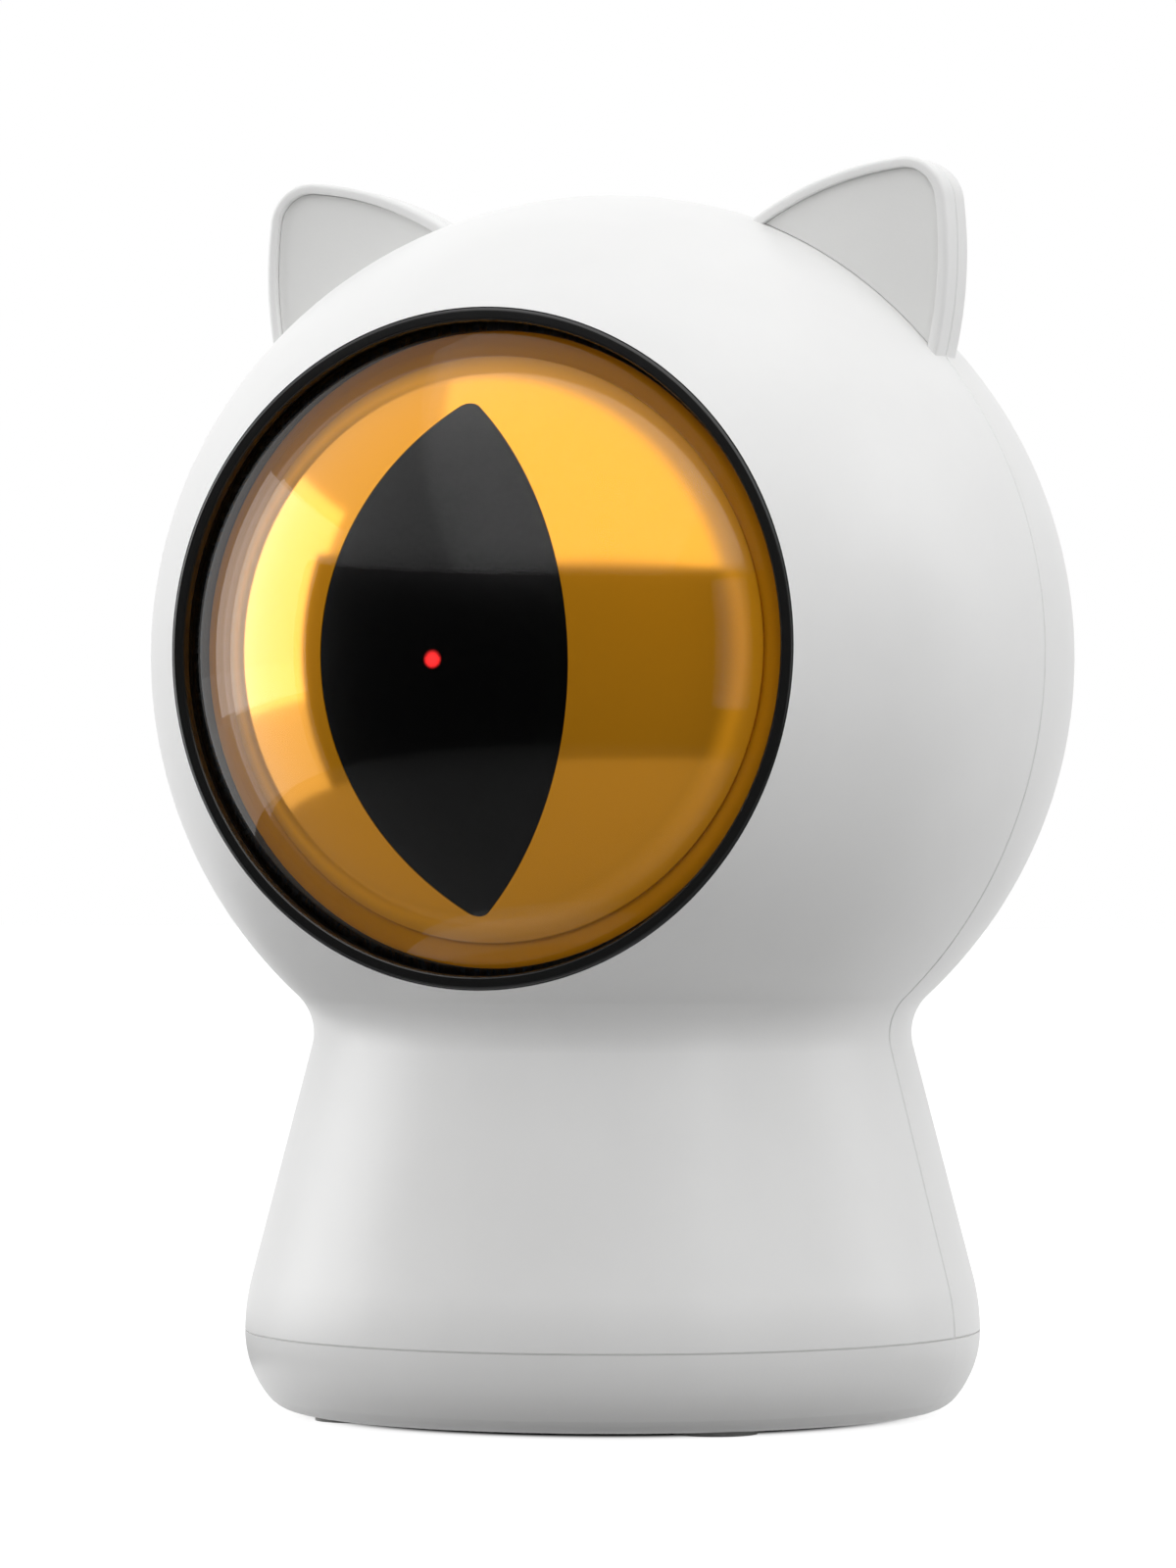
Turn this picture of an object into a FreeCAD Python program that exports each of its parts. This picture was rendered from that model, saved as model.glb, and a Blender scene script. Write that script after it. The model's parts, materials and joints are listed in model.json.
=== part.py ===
import FreeCAD, Part
import math
import os
from FreeCAD import Vector

# Automatic cat laser toy, in millimetres. The origin is on the table under the middle of the body.
# +Z is up, +X is to the right of someone who looks at the back, and the eye looks along -Y.

# Casing
HEAD_R = 45.0             # ball of the head
HEAD_Z = 73.5             # height of its centre
NECK_R = 29.15            # narrowest radius, under the head
NECK_FILLET = 5.0         # hollow between head and pedestal
BASE_R = 35.8             # widest radius of the pedestal
BASE_SEAM_Z = 8.1         # height of the seam between shells and tray
FLARE_R = 21.0            # curve that turns the pedestal's side upright at the seam
WALL = 2.0
SEAM_Y = -0.5             # plane where the front and rear shells meet
TONGUE = 1.5              # how far the rear shell's tongue reaches into the front shell
TONGUE_SKIN = 1.0         # what the front shell keeps outside the tongue
TONGUE_END = 0.1          # gap past the tongue's edge
FIT = 0.05                # clearance of pieces that are pushed together
RUN = 0.05                # radial clearance of pieces that turn or slide

# Ears. Each outline point is an angle from upright and a rise above the ball of the head.
EAR_INNER_FOOT = (18.5, -2.6)
EAR_INNER_MID = (27.0, 6.3)
EAR_TIP_IN = (33.4, 11.8)
EAR_TIP_MID = (36.8, 12.7)
EAR_TIP_OUT = (39.7, 11.2)
EAR_OUTER_MID = (43.2, 7.85)
EAR_OUTER_FOOT = (52.6, -1.8)
EAR_FRONT_Y = -3.2
EAR_REAR_Y = 3.3
EAR_RIM = 1.05            # width of the raised rim round the ear's panel
EAR_RECESS = 1.2          # depth of the recess inside the rim
EAR_PANEL_T = 0.6
EAR_EDGE_R = 0.45         # rounding of the rim
EAR_BACK_R = 1.5          # rounding of the ear's back
EAR_WALL = 1.6

# Base tray, door and feet
FOOT_PROUD = 0.5          # how far the rubber feet stand out under the tray
TRAY_FLOOR = 2.0
TRAY_SIDE_R = 10.0
TRAY_EDGE_R = 3.5
TRAY_LIP_W = 1.2
TRAY_LIP_UP = 1.9
TRAY_LIP_DOWN = 2.6
TRAY_LIP_GAP = 0.15
FOOT_R = 4.0
FOOT_T = 1.0
FOOT_RING_R = 26.4        # feet and base screws lie on this circle
PILLAR_R = 3.2
BAY_HALF = 15.4           # half the square opening for the cells
DOOR_GAP = 0.3
DOOR_T = 1.8
DOOR_PIN_R = 0.6
DOOR_PIN_GRIP = 2.0       # length of the pin inside the tray on each side
PIN_END_PLAY = 0.1
NOTCH_HALF = 4.0
NOTCH_L = 2.6
NOTCH_DEEP = 0.5

# Screws
SCREW_R = 1.0
SCREW_HEAD_R = 2.0
SCREW_HEAD_T = 1.4
SCREW_GRIP = 6.0          # length of thread in a boss
BOSS_R = 2.8
RIB_T = 1.6
RIB_UP = 10.0
RIB_GAP = 0.4             # between the ribs and the tray's lip
HOLE_SPARE = 1.0          # screw holes are this much deeper than the screws
SCREW_PLAY = 0.2          # radial play of a screw in a hole it only passes through
SCREW_SET_BACK = 1.2      # depth of the base screws' heads above the feet

# Cells and their holder
CELL_R = 7.1
CELL_CAN = 49.5
CELL_NUB = 1.0
CELL_NUB_R = 2.7
CELL_OFF = 7.6            # distance of each cell's axis from the middle, both ways
BAY_CLEAR = 0.2
HOLDER_WALL = 1.0
HOLDER_TOP = 1.4
CONTACT_T = 0.3
CONTACT_EDGE = 1.5        # contact plates reach this far past the cell's nub
CONTACT_GAP = 0.3         # gap between the closed door's contacts and the cells
SPRING_H = 2.3
SPRING_R = 3.2
SPRING_WIRE = 0.6
TAB_X = 20.2              # screws that hold the cell holder
TAB_Z = 7.1
TAB_T = 1.5
TAB_HALF = 3.2
POST_R = 2.4              # posts of the tray under the tabs
POST_FLOOR = 0.3          # solid left under the holes in the posts
POST_SCREW_END = 0.6      # the holder screws end this far above the tray's floor

# Eye: bezel, dome, iris and pupil share one axis along Y through the head's centre
BEZEL_R = 31.85
BEZEL_PROUD = 0.11        # how far the bezel's face stands in front of the head at the bezel's edge
BEZEL_RING = 1.3          # visible width of the black ring
BEZEL_LIP = 1.0
BEZEL_WALL = 0.8
BEZEL_DEEP = 10.3
COLLAR_W = 1.5
COLLAR_DEEP = 8.9         # from the bezel's face to the back of the collar
HOOK_OUT = 0.65
HOOK_T = 1.3
HOOK_HALF_W = 4.0
EYE_TABS = 6
DOME_LIP_GAP = 0.08       # the dome's ball passes this far behind the bezel's lip
DOME_GAP = 2.1            # between the middles of dome and iris
DOME_WALL = 1.5
DOME_FLANGE_T = 1.45
SEAL_W = 1.1
IRIS_R = 35.4
IRIS_WALL = 1.2
IRIS_MARGIN = 3.5         # width of the flange round the gold disc
IRIS_EDGE_DEEP = 3.61     # from the bezel's face to the gold disc's edge
IRIS_STEP = 0.4           # the flange lies this far behind the gold dome's edge
IRIS_FLANGE_T = 1.0
RETAINER_T = 2.0
RETAINER_W = 2.4
PUPIL_HALF_W = 12.6
PUPIL_MARGIN = 2.5        # between the slit's lower end and the gold disc's edge
PUPIL_END_R = 1.8
PUPIL_DROP = 1.1          # the slit sits this much below the eye's axis
WINDOW_LEDGE = 1.2
WINDOW_BACK_T = 0.95

# Laser and its two axes
AIM = 2.0                 # degrees that the laser points down at rest
LASER_GAP = 2.6           # between the iris's back and the barrel's mouth
LASER_R = 3.25
LASER_L = 24.6
LENS_R = 2.35
LENS_T = 1.4
LENS_PROUD = 0.3
SLEEVE_WALL = 1.35
SLEEVE_FRONT = 14.0       # sleeve and block, measured forward from the crossing of the axes
SLEEVE_BACK = 3.5
BLOCK_FRONT = 7.0
GROOVE_AT = 4.0
GROOVE_W = 1.0
GROOVE_DEEP = 0.3
CARRIER_HALF = 4.5
CARRIER_UP = 3.5
CARRIER_BACK = 2.0
HUB_R = 2.6
AXLE_R = 1.0
AXLE_HALF = 10.6
BUSH_R = 2.2
BUSH_FLANGE_R = 2.8
BUSH_FLANGE_T = 0.4
ARM_IN = 8.6
ARM_T = 1.5
ARM_HALF_W = 4.0
SIDE_PLAY = 0.2
MODULE = 0.5
GEAR_PLAY = 0.1           # added to the distance between meshed gears
TOOTH_SHARE = 0.38        # tooth width at the pitch line as a share of the pitch
TOOTH_TAPER = 0.16        # how much wider the root and narrower the tip are, also of the pitch
TOOTH_ROOT = 1.25         # depth and rise of a tooth from the pitch line, in modules
TOOTH_RISE = 0.9
PAN_TEETH = 60
PAN_PINION_TEETH = 12
TILT_TEETH = 26
TILT_PINION_TEETH = 10
GEAR_T = 1.5

# Frame that carries the mechanism
PLATE_Z = 60.0
PLATE_T = 2.0
PLATE_R = 33.0
PLATE_GAP = 3.6           # between the bezel's back and the plate's front edge
FRAME_SCREWS = ((25.0, 16.0), (28.6, -8.0))
PAN_SHAFT_R = 2.0
PAN_BUSH_R = 3.6
PAN_BUSH_FLANGE_R = 5.0
PAN_BUSH_FLANGE_T = 0.3
PAN_GAP = 0.2
PAN_WASHER_R = 3.2
PAN_WASHER_T = 1.0
PAN_SCREW_L = 2.9
PAN_SCREW_HOLE = 3.2
YOKE_T = 1.5
MOTOR_R = 5.0
MOTOR_L = 16.0
MOTOR_EDGE_R = 0.5
MOTOR_TAIL_SHARE = 0.4    # radius of the can's rear boss as a share of the can's
MOTOR_TAIL_L = 0.8
SHAFT_END_GAP = 0.2
SHELF_GAP = 0.6
SHELF_T = 1.5
CUP_WALL = 1.1
CUP_UP = 4.9
SHELF_PAST = 1.5          # the shelf reaches this far past the cup
SHELF_TRIM = 0.6          # and is this much narrower than it
PINION_HOLE_R = 1.5
POST_T = 2.5
SHAFT_R = 0.75
SHAFT_IN = 3.0
TILT_MOTOR_R = 4.0
TILT_MOTOR_L = 12.0
TILT_SHAFT_R = 0.5
TILT_SHAFT_IN = 1.0
CRADLE_WALL = 1.2
CRADLE_UP = 6.0
CRADLE_TRIM = 0.5
CRADLE_SHORT = 1.0        # the cradle ends this far before the motor's ends

# Control board with the inlet, the light and the button on the back of the pedestal
BOARD_T = 1.2
BOARD_HALF = 10.0
BOARD_LOW = 11.0
BOARD_HIGH = 28.0
BOARD_SCREW_X = 7.8
BOARD_SCREW_ZS = (13.0, 25.8)
BOARD_BOSS_R = 1.9
BOARD_SCREW_R = 0.8
BOARD_SCREW_HEAD_R = 1.5
BOARD_SCREW_HEAD_T = 1.2
BOARD_SCREW_GRIP = 2.8
BOARD_SCREW_PLAY = 0.1
BOARD_HOLE_SPARE = 0.3
CHIP_HALF = 3.5
CHIP_T = 1.2
PLUG_HALF = 4.0
PLUG_OUT = 4.0
PLUG_H = 3.5
PLUG_UP = 0.5             # above the board's lower edge
EMITTER_HALF_W = 0.8
EMITTER_HALF_H = 0.5
EMITTER_T = 0.6
INLET_Z = 14.5
INLET_W = 8.9
INLET_H = 3.2
INLET_WALL = 0.3
INLET_SET_BACK = 0.35
INLET_FLOOR = 1.0
INLET_TONGUE_IN = 1.2     # the tongue is this much shorter than the mouth at each end
INLET_TONGUE_T = 0.7
INLET_TONGUE_BACK = 0.8
LIGHT_Z = 19.3
LIGHT_R = 1.0
LIGHT_GAP = 0.1           # between the emitter and the clear rod
BUTTON_Z = 24.0
BUTTON_R = 3.02
BUTTON_PROUD = 0.5
BUTTON_FLANGE = 0.5
BUTTON_FLANGE_T = 0.7
BUTTON_TRAVEL = 0.8
SWITCH_HALF = 3.0
SWITCH_T = 1.4
SWITCH_GAP = 0.1          # left between button and switch at full travel
BUTTON_CLEAR = 0.38       # between the button's flange and the pedestal's wall

# Places that follow from the sizes above
TRAY_Z = FOOT_PROUD
FLOOR_TOP = TRAY_Z + TRAY_FLOOR
HEAD = Vector(0, 0, HEAD_Z)
NECK_CENTRE_R = NECK_R + NECK_FILLET
NECK_Z = HEAD_Z - math.sqrt((HEAD_R + NECK_FILLET) ** 2 - NECK_CENTRE_R ** 2)
FLARE_X = BASE_R - FLARE_R
SIDE_APART = math.hypot(NECK_CENTRE_R - FLARE_X, NECK_Z - BASE_SEAM_Z)
SIDE_RISE = math.atan2(NECK_Z - BASE_SEAM_Z, NECK_CENTRE_R - FLARE_X)
SIDE_LEAN = SIDE_RISE - math.acos((FLARE_R + NECK_FILLET) / SIDE_APART)
BEZEL_FACE_Y = -math.sqrt(HEAD_R ** 2 - BEZEL_R ** 2) - BEZEL_PROUD
COLLAR_BACK_Y = BEZEL_FACE_Y + COLLAR_DEEP
STACK_R = BEZEL_R - BEZEL_WALL - FIT
IRIS_EDGE_R = STACK_R - IRIS_MARGIN
IRIS_HOLLOW = math.sqrt(IRIS_R ** 2 - IRIS_EDGE_R ** 2)
IRIS_CENTRE_Y = BEZEL_FACE_Y + IRIS_EDGE_DEEP + IRIS_HOLLOW
PLATE_FRONT_Y = BEZEL_FACE_Y + BEZEL_DEEP + PLATE_GAP
AXES = Vector(0, IRIS_CENTRE_Y, HEAD_Z)   # where the two laser axes cross
PUPIL_Z = HEAD_Z - PUPIL_DROP
PUPIL_HALF_L = IRIS_EDGE_R - PUPIL_DROP - PUPIL_MARGIN
LASER_REACH = IRIS_R - IRIS_WALL - LASER_GAP
BORE_R = BEZEL_R + FIT
DOME_FRONT_Y = IRIS_CENTRE_Y - IRIS_R - DOME_GAP - DOME_WALL
DOME_RISE = BEZEL_FACE_Y + BEZEL_LIP + DOME_LIP_GAP - DOME_FRONT_Y
DOME_R = (DOME_RISE ** 2 + (BEZEL_R - BEZEL_RING) ** 2) / (2 * DOME_RISE)
DOME_CENTRE_Y = DOME_FRONT_Y + DOME_R
DOME_FLANGE_Y = BEZEL_FACE_Y + BEZEL_LIP + FIT
SEAL_Y = DOME_FLANGE_Y + DOME_FLANGE_T
IRIS_FLANGE_Y = IRIS_CENTRE_Y - IRIS_HOLLOW + IRIS_STEP
RETAINER_Y = IRIS_FLANGE_Y + IRIS_FLANGE_T
DOOR_TOP = TRAY_Z + DOOR_T
DOOR_HALF = BAY_HALF - DOOR_GAP
HINGE_Y = DOOR_HALF - DOOR_T / 2
HINGE_Z = TRAY_Z + DOOR_T / 2
DOOR_CONTACT_TOP = DOOR_TOP + CONTACT_T
CELL_LOW_NUB = DOOR_CONTACT_TOP + CONTACT_GAP
CELL_LOW_CAN = CELL_LOW_NUB + SPRING_H
TOP_CONTACT_Z = CELL_LOW_CAN + CELL_CAN + CELL_NUB
HOLDER_TOP_Z = TOP_CONTACT_Z + CONTACT_T + HOLDER_TOP
PLATE_TOP = PLATE_Z + PLATE_T
GEAR_Z = PLATE_TOP + PAN_BUSH_FLANGE_T + PAN_GAP
YOKE_Z = GEAR_Z + GEAR_T
YOKE_TOP = YOKE_Z + YOKE_T
PAN_MOTOR_X = MODULE * (PAN_TEETH + PAN_PINION_TEETH) / 2 + GEAR_PLAY
SHELF_Z = GEAR_Z + GEAR_T + SHELF_GAP
PAN_MOTOR_Z = SHELF_Z + SHELF_T
TILT_MOTOR_Y = IRIS_CENTRE_Y + MODULE * (TILT_TEETH + TILT_PINION_TEETH) / 2 + GEAR_PLAY
TILT_GEAR_X = CARRIER_HALF + 0.7
TILT_MOTOR_END = CARRIER_HALF
FLANGE_UP = BUTTON_Z + BUTTON_R + BUTTON_FLANGE - BASE_SEAM_Z
WALL_IN_Y = FLARE_X + (FLARE_R - WALL - FLANGE_UP * math.sin(SIDE_LEAN)) / math.cos(SIDE_LEAN)
BUTTON_BACK_Y = WALL_IN_Y - BUTTON_CLEAR - BUTTON_FLANGE_T
SWITCH_TOP = BUTTON_BACK_Y - BUTTON_TRAVEL - SWITCH_GAP
BOARD_BACK = SWITCH_TOP - SWITCH_T
BOARD_Y = BOARD_BACK - BOARD_T

X_AXIS = Vector(1, 0, 0)
Y_AXIS = Vector(0, 1, 0)
Z_AXIS = Vector(0, 0, 1)
FAR = 200.0
OVER = 1.0                # how far a cutting shape reaches past a face
FRONT_START = 90.0
REAR_START = -90.0


def save(name, shape):
    """Write one named piece, or one group of like pieces."""
    if isinstance(shape, (list, tuple)):
        shape = Part.makeCompound(list(shape))
    shape.exportStep("parts/" + name + ".step")


def box(x0, x1, y0, y1, z0, z1):
    return Part.makeBox(x1 - x0, y1 - y0, z1 - z0, Vector(x0, y0, z0))


def rod_x(radius, x0, x1, y, z):
    return Part.makeCylinder(radius, x1 - x0, Vector(x0, y, z), X_AXIS)


def rod_y(radius, y0, y1, x, z):
    return Part.makeCylinder(radius, y1 - y0, Vector(x, y0, z), Y_AXIS)


def rod_z(radius, z0, z1, x=0.0, y=0.0):
    return Part.makeCylinder(radius, z1 - z0, Vector(x, y, z0), Z_AXIS)


def eye_ring(r_in, r_out, y0, y1):
    """Ring round the eye's axis."""
    return rod_y(r_out, y0, y1, 0, HEAD_Z).cut(rod_y(r_in, y0 - OVER, y1 + OVER, 0, HEAD_Z))


def ball(radius, centre_y=0.0):
    """Ball on the eye's axis."""
    return Part.makeSphere(radius, Vector(0, centre_y, HEAD_Z))


def arc(a, b, c):
    return Part.Arc(a, b, c).toShape()


def line(a, b):
    return Part.LineSegment(a, b).toShape()


def mirrored(shape):
    return shape.mirror(Vector(0, 0, 0), X_AXIS)


def polar(cx, cz, radius, degrees):
    """Point in the XZ plane at an angle from +X."""
    a = math.radians(degrees)
    return Vector(cx + radius * math.cos(a), 0, cz + radius * math.sin(a))


def body(inset, bottom=BASE_SEAM_Z, start=0.0):
    """Head and pedestal as one solid, drawn in by inset all over; the pedestal is turned from start."""
    head_r = HEAD_R - inset
    neck_r = NECK_FILLET + inset
    flare_r = FLARE_R - inset
    side = math.degrees(SIDE_LEAN)
    under = math.degrees(math.atan2(NECK_Z - HEAD_Z, NECK_CENTRE_R))
    head_end = polar(0, HEAD_Z, head_r, under)
    middle = Vector(0, 0, head_end.z)
    neck_end = polar(NECK_CENTRE_R, NECK_Z, neck_r, 180 + side)
    flare_top = polar(FLARE_X, BASE_SEAM_Z, flare_r, side)
    seam = Vector(BASE_R - inset, 0, BASE_SEAM_Z)
    edges = [
        line(middle, head_end),
        arc(head_end, polar(NECK_CENTRE_R, NECK_Z, neck_r, 180 + (under + side) / 2), neck_end),
        line(neck_end, flare_top),
        arc(flare_top, polar(FLARE_X, BASE_SEAM_Z, flare_r, side / 2), seam),
    ]
    corner = seam
    if bottom < BASE_SEAM_Z:
        corner = Vector(seam.x, 0, bottom)
        edges.append(line(seam, corner))
    foot = Vector(0, 0, bottom)
    edges += [line(corner, foot), line(foot, middle)]
    lower = Part.Face(Part.Wire(edges)).revolve(Vector(0, 0, 0), Z_AXIS, 360)
    lower.rotate(Vector(0, 0, 0), Z_AXIS, start)
    head = Part.makeSphere(head_r, HEAD, Y_AXIS)
    return head.common(box(-FAR, FAR, -FAR, FAR, head_end.z, FAR)).fuse(lower)


def front_half():
    return box(-FAR, FAR, -FAR, SEAM_Y, -FAR, FAR)


def rear_half():
    return box(-FAR, FAR, SEAM_Y, FAR, -FAR, FAR)


def ear_face(y):
    """Outline of the right ear: an inner edge, a rounded tip and an outer edge."""
    outline = []
    for angle, rise in (EAR_INNER_FOOT, EAR_INNER_MID, EAR_TIP_IN, EAR_TIP_MID,
                        EAR_TIP_OUT, EAR_OUTER_MID, EAR_OUTER_FOOT):
        a = math.radians(angle)
        r = HEAD_R + rise
        outline.append(Vector(r * math.sin(a), y, HEAD_Z + r * math.cos(a)))
    foot_in, mid_in, tip_in, tip, tip_out, mid_out, foot_out = outline
    edges = [arc(foot_in, mid_in, tip_in), arc(tip_in, tip, tip_out),
             arc(tip_out, mid_out, foot_out), line(foot_out, foot_in)]
    return Part.Face(Part.Wire(edges))


def ear_prism(inset, y0, y1):
    face = ear_face(y0)
    if inset:
        face = face.makeOffset2D(-inset)
    return face.extrude(Vector(0, y1 - y0, 0))


def edges_at(shape, y):
    """Edges of the ear's outline in the plane at y, without the one inside the head."""
    found = []
    for edge in shape.Edges:
        in_plane = all(abs(v.Point.y - y) < 1e-6 for v in edge.Vertexes)
        if in_plane and edge.Curve.TypeId != "Part::GeomLine":
            found.append(edge)
    return found


def ear():
    """Whole right ear, before it is split by the seam plane."""
    shape = ear_prism(0, EAR_FRONT_Y, EAR_REAR_Y)
    shape = shape.makeFillet(EAR_BACK_R, edges_at(shape, EAR_REAR_Y))
    return shape.makeFillet(EAR_EDGE_R, edges_at(shape, EAR_FRONT_Y))


def ear_recess():
    return ear_prism(EAR_RIM, EAR_FRONT_Y - OVER, EAR_FRONT_Y + EAR_RECESS).cut(ball(HEAD_R))


def ear_pocket():
    return ear_prism(EAR_WALL, SEAM_Y, EAR_REAR_Y - EAR_WALL).cut(ball(HEAD_R))


def ear_insert():
    """Grey panel that lies in the ear's recess."""
    back = EAR_FRONT_Y + EAR_RECESS
    return ear_prism(EAR_RIM + FIT, back - EAR_PANEL_T, back).cut(ball(HEAD_R + FIT))


def on_ring(count, start, radius):
    """Points spaced evenly on a circle round the middle."""
    places = []
    for i in range(count):
        a = math.radians(start + 360.0 * i / count)
        places.append((radius * math.cos(a), radius * math.sin(a)))
    return places


def base_places():
    return on_ring(4, 45.0, FOOT_RING_R)


def shell_bosses(front):
    """Bosses over the tray's pillars, each tied to the wall by a rib."""
    top = BASE_SEAM_Z + RIB_UP
    rib_low = BASE_SEAM_Z + TRAY_LIP_UP + RIB_GAP
    shapes = []
    for x, y in base_places():
        if (y < SEAM_Y) != front:
            continue
        boss = rod_z(BOSS_R, BASE_SEAM_Z, top, x, y)
        rib = box(FOOT_RING_R, BASE_R, -RIB_T / 2, RIB_T / 2, rib_low, top)
        rib.rotate(Vector(0, 0, 0), Z_AXIS, math.degrees(math.atan2(y, x)))
        hole = rod_z(SCREW_R + FIT, BASE_SEAM_Z - OVER, BASE_SEAM_Z + SCREW_GRIP + HOLE_SPARE, x, y)
        shapes.append(boss.fuse(rib).cut(hole).common(body(TONGUE_SKIN)))
    return shapes


def frame_places():
    return [(side * x, y) for side in (-1, 1) for x, y in FRAME_SCREWS]


def frame_bosses(front):
    """Bosses that rise from the lower wall of the head to the mechanism's plate."""
    shapes = []
    for x, y in frame_places():
        if (y < SEAM_Y) == front:
            boss = rod_z(BOSS_R, NECK_Z, PLATE_Z, x, y)
            hole = rod_z(SCREW_R + FIT, PLATE_Z - SCREW_GRIP - HOLE_SPARE, PLATE_Z + OVER, x, y)
            shapes.append(boss.cut(hole).common(body(TONGUE_SKIN)))
    return shapes


def collar():
    """Ring inside the front opening that the bezel is pushed into."""
    ring = eye_ring(BORE_R, BORE_R + COLLAR_W, -HEAD_R, COLLAR_BACK_Y)
    return ring.common(ball(HEAD_R - TONGUE_SKIN))


def front_shell():
    ears = ear()
    below = BASE_SEAM_Z - OVER
    shell = body(0, BASE_SEAM_Z, FRONT_START).common(front_half())
    shell = shell.multiFuse([part.common(front_half()) for part in (ears, mirrored(ears))])
    shell = shell.cut(body(WALL, below, FRONT_START))
    rebate = box(-FAR, FAR, SEAM_Y - TONGUE - TONGUE_END, SEAM_Y + OVER, -FAR, FAR)
    shell = shell.cut(body(TONGUE_SKIN, below, FRONT_START).common(rebate))
    shell = shell.cut(rod_y(BORE_R, -FAR, -HEAD_R / 2, 0, HEAD_Z))
    shell = shell.multiFuse([collar()] + shell_bosses(True) + frame_bosses(True))
    recess = ear_recess()
    return shell.cut(recess).cut(mirrored(recess))


def inlet_block(grow, y0, y1):
    """Flat-sided slot with round ends, on the inlet's axis."""
    half_h = INLET_H / 2 + grow
    half_w = INLET_W / 2 + grow - half_h
    slab = box(-half_w, half_w, y0, y1, INLET_Z - half_h, INLET_Z + half_h)
    ends = [rod_y(half_h, y0, y1, side * half_w, INLET_Z) for side in (-1, 1)]
    return slab.multiFuse(ends)


def board_places():
    return [(side * BOARD_SCREW_X, z) for side in (-1, 1) for z in BOARD_SCREW_ZS]


def board_bosses():
    inside = body(TONGUE_SKIN)
    return [rod_y(BOARD_BOSS_R, BOARD_BACK, HEAD_R, x, z).common(inside) for x, z in board_places()]


def board_holes():
    end_y = BOARD_BACK + BOARD_SCREW_GRIP + BOARD_HOLE_SPARE
    holes = [rod_y(BOARD_SCREW_R + FIT, BOARD_BACK - OVER, end_y, x, z) for x, z in board_places()]
    return Part.makeCompound(holes)


def rear_shell():
    ears = ear()
    below = BASE_SEAM_Z - OVER
    shell = body(0, BASE_SEAM_Z, REAR_START).common(rear_half())
    shell = shell.multiFuse([part.common(rear_half()) for part in (ears, mirrored(ears))])
    shell = shell.cut(body(WALL, below, REAR_START))
    tongue = body(TONGUE_SKIN + FIT, BASE_SEAM_Z, REAR_START).cut(body(WALL, below, REAR_START))
    tongue = tongue.common(box(-FAR, FAR, SEAM_Y - TONGUE, SEAM_Y + OVER, -FAR, FAR))
    for extra in [tongue] + shell_bosses(False) + frame_bosses(False) + board_bosses():
        shell = shell.fuse(extra)
    shell = shell.cut(board_holes())
    pocket = ear_pocket()
    shell = shell.cut(pocket).cut(mirrored(pocket))
    shell = shell.cut(inlet_block(INLET_WALL, BOARD_BACK + INLET_H, FAR))
    shell = shell.cut(rod_y(LIGHT_R + FIT, BOARD_BACK, FAR, 0, LIGHT_Z))
    return shell.cut(rod_y(BUTTON_R + RUN, BOARD_BACK, FAR, 0, BUTTON_Z))


def tray_form(inset, low, high):
    """Outside of the tray, drawn in by inset: a round side, a rounded edge and a flat bottom."""
    drop = BASE_SEAM_Z - TRAY_Z
    turn = math.degrees(math.asin((drop - TRAY_EDGE_R) / (TRAY_SIDE_R - TRAY_EDGE_R)))
    side_x = BASE_R - TRAY_SIDE_R
    edge = polar(side_x, BASE_SEAM_Z, TRAY_SIDE_R - TRAY_EDGE_R, -turn)
    side_r = TRAY_SIDE_R - inset
    edge_r = TRAY_EDGE_R - inset
    start = Vector(BASE_R - inset, 0, BASE_SEAM_Z)
    meet = polar(side_x, BASE_SEAM_Z, side_r, -turn)
    flat = Vector(edge.x, 0, edge.z - edge_r)
    edges = [
        arc(start, polar(side_x, BASE_SEAM_Z, side_r, -turn / 2), meet),
        arc(meet, polar(edge.x, edge.z, edge_r, -(90 + turn) / 2), flat),
        line(flat, Vector(0, 0, flat.z)),
        line(Vector(0, 0, flat.z), Vector(0, 0, BASE_SEAM_Z)),
        line(Vector(0, 0, BASE_SEAM_Z), start),
    ]
    solid = Part.Face(Part.Wire(edges)).revolve(Vector(0, 0, 0), Z_AXIS, 360)
    return solid.common(box(-FAR, FAR, -FAR, FAR, low, high))


def tray_lip():
    """Ring that stands inside the shells and lines them up."""
    outer = BASE_R - WALL
    low = BASE_SEAM_Z - TRAY_LIP_DOWN
    lower = rod_z(outer + WALL / 2, low, BASE_SEAM_Z)
    upper = rod_z(outer - TRAY_LIP_GAP, low, BASE_SEAM_Z + TRAY_LIP_UP)
    return lower.fuse(upper).cut(rod_z(outer - TRAY_LIP_W, low - OVER, HEAD_Z))


def holder_places():
    return [(-TAB_X, 0.0), (TAB_X, 0.0)]


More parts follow.
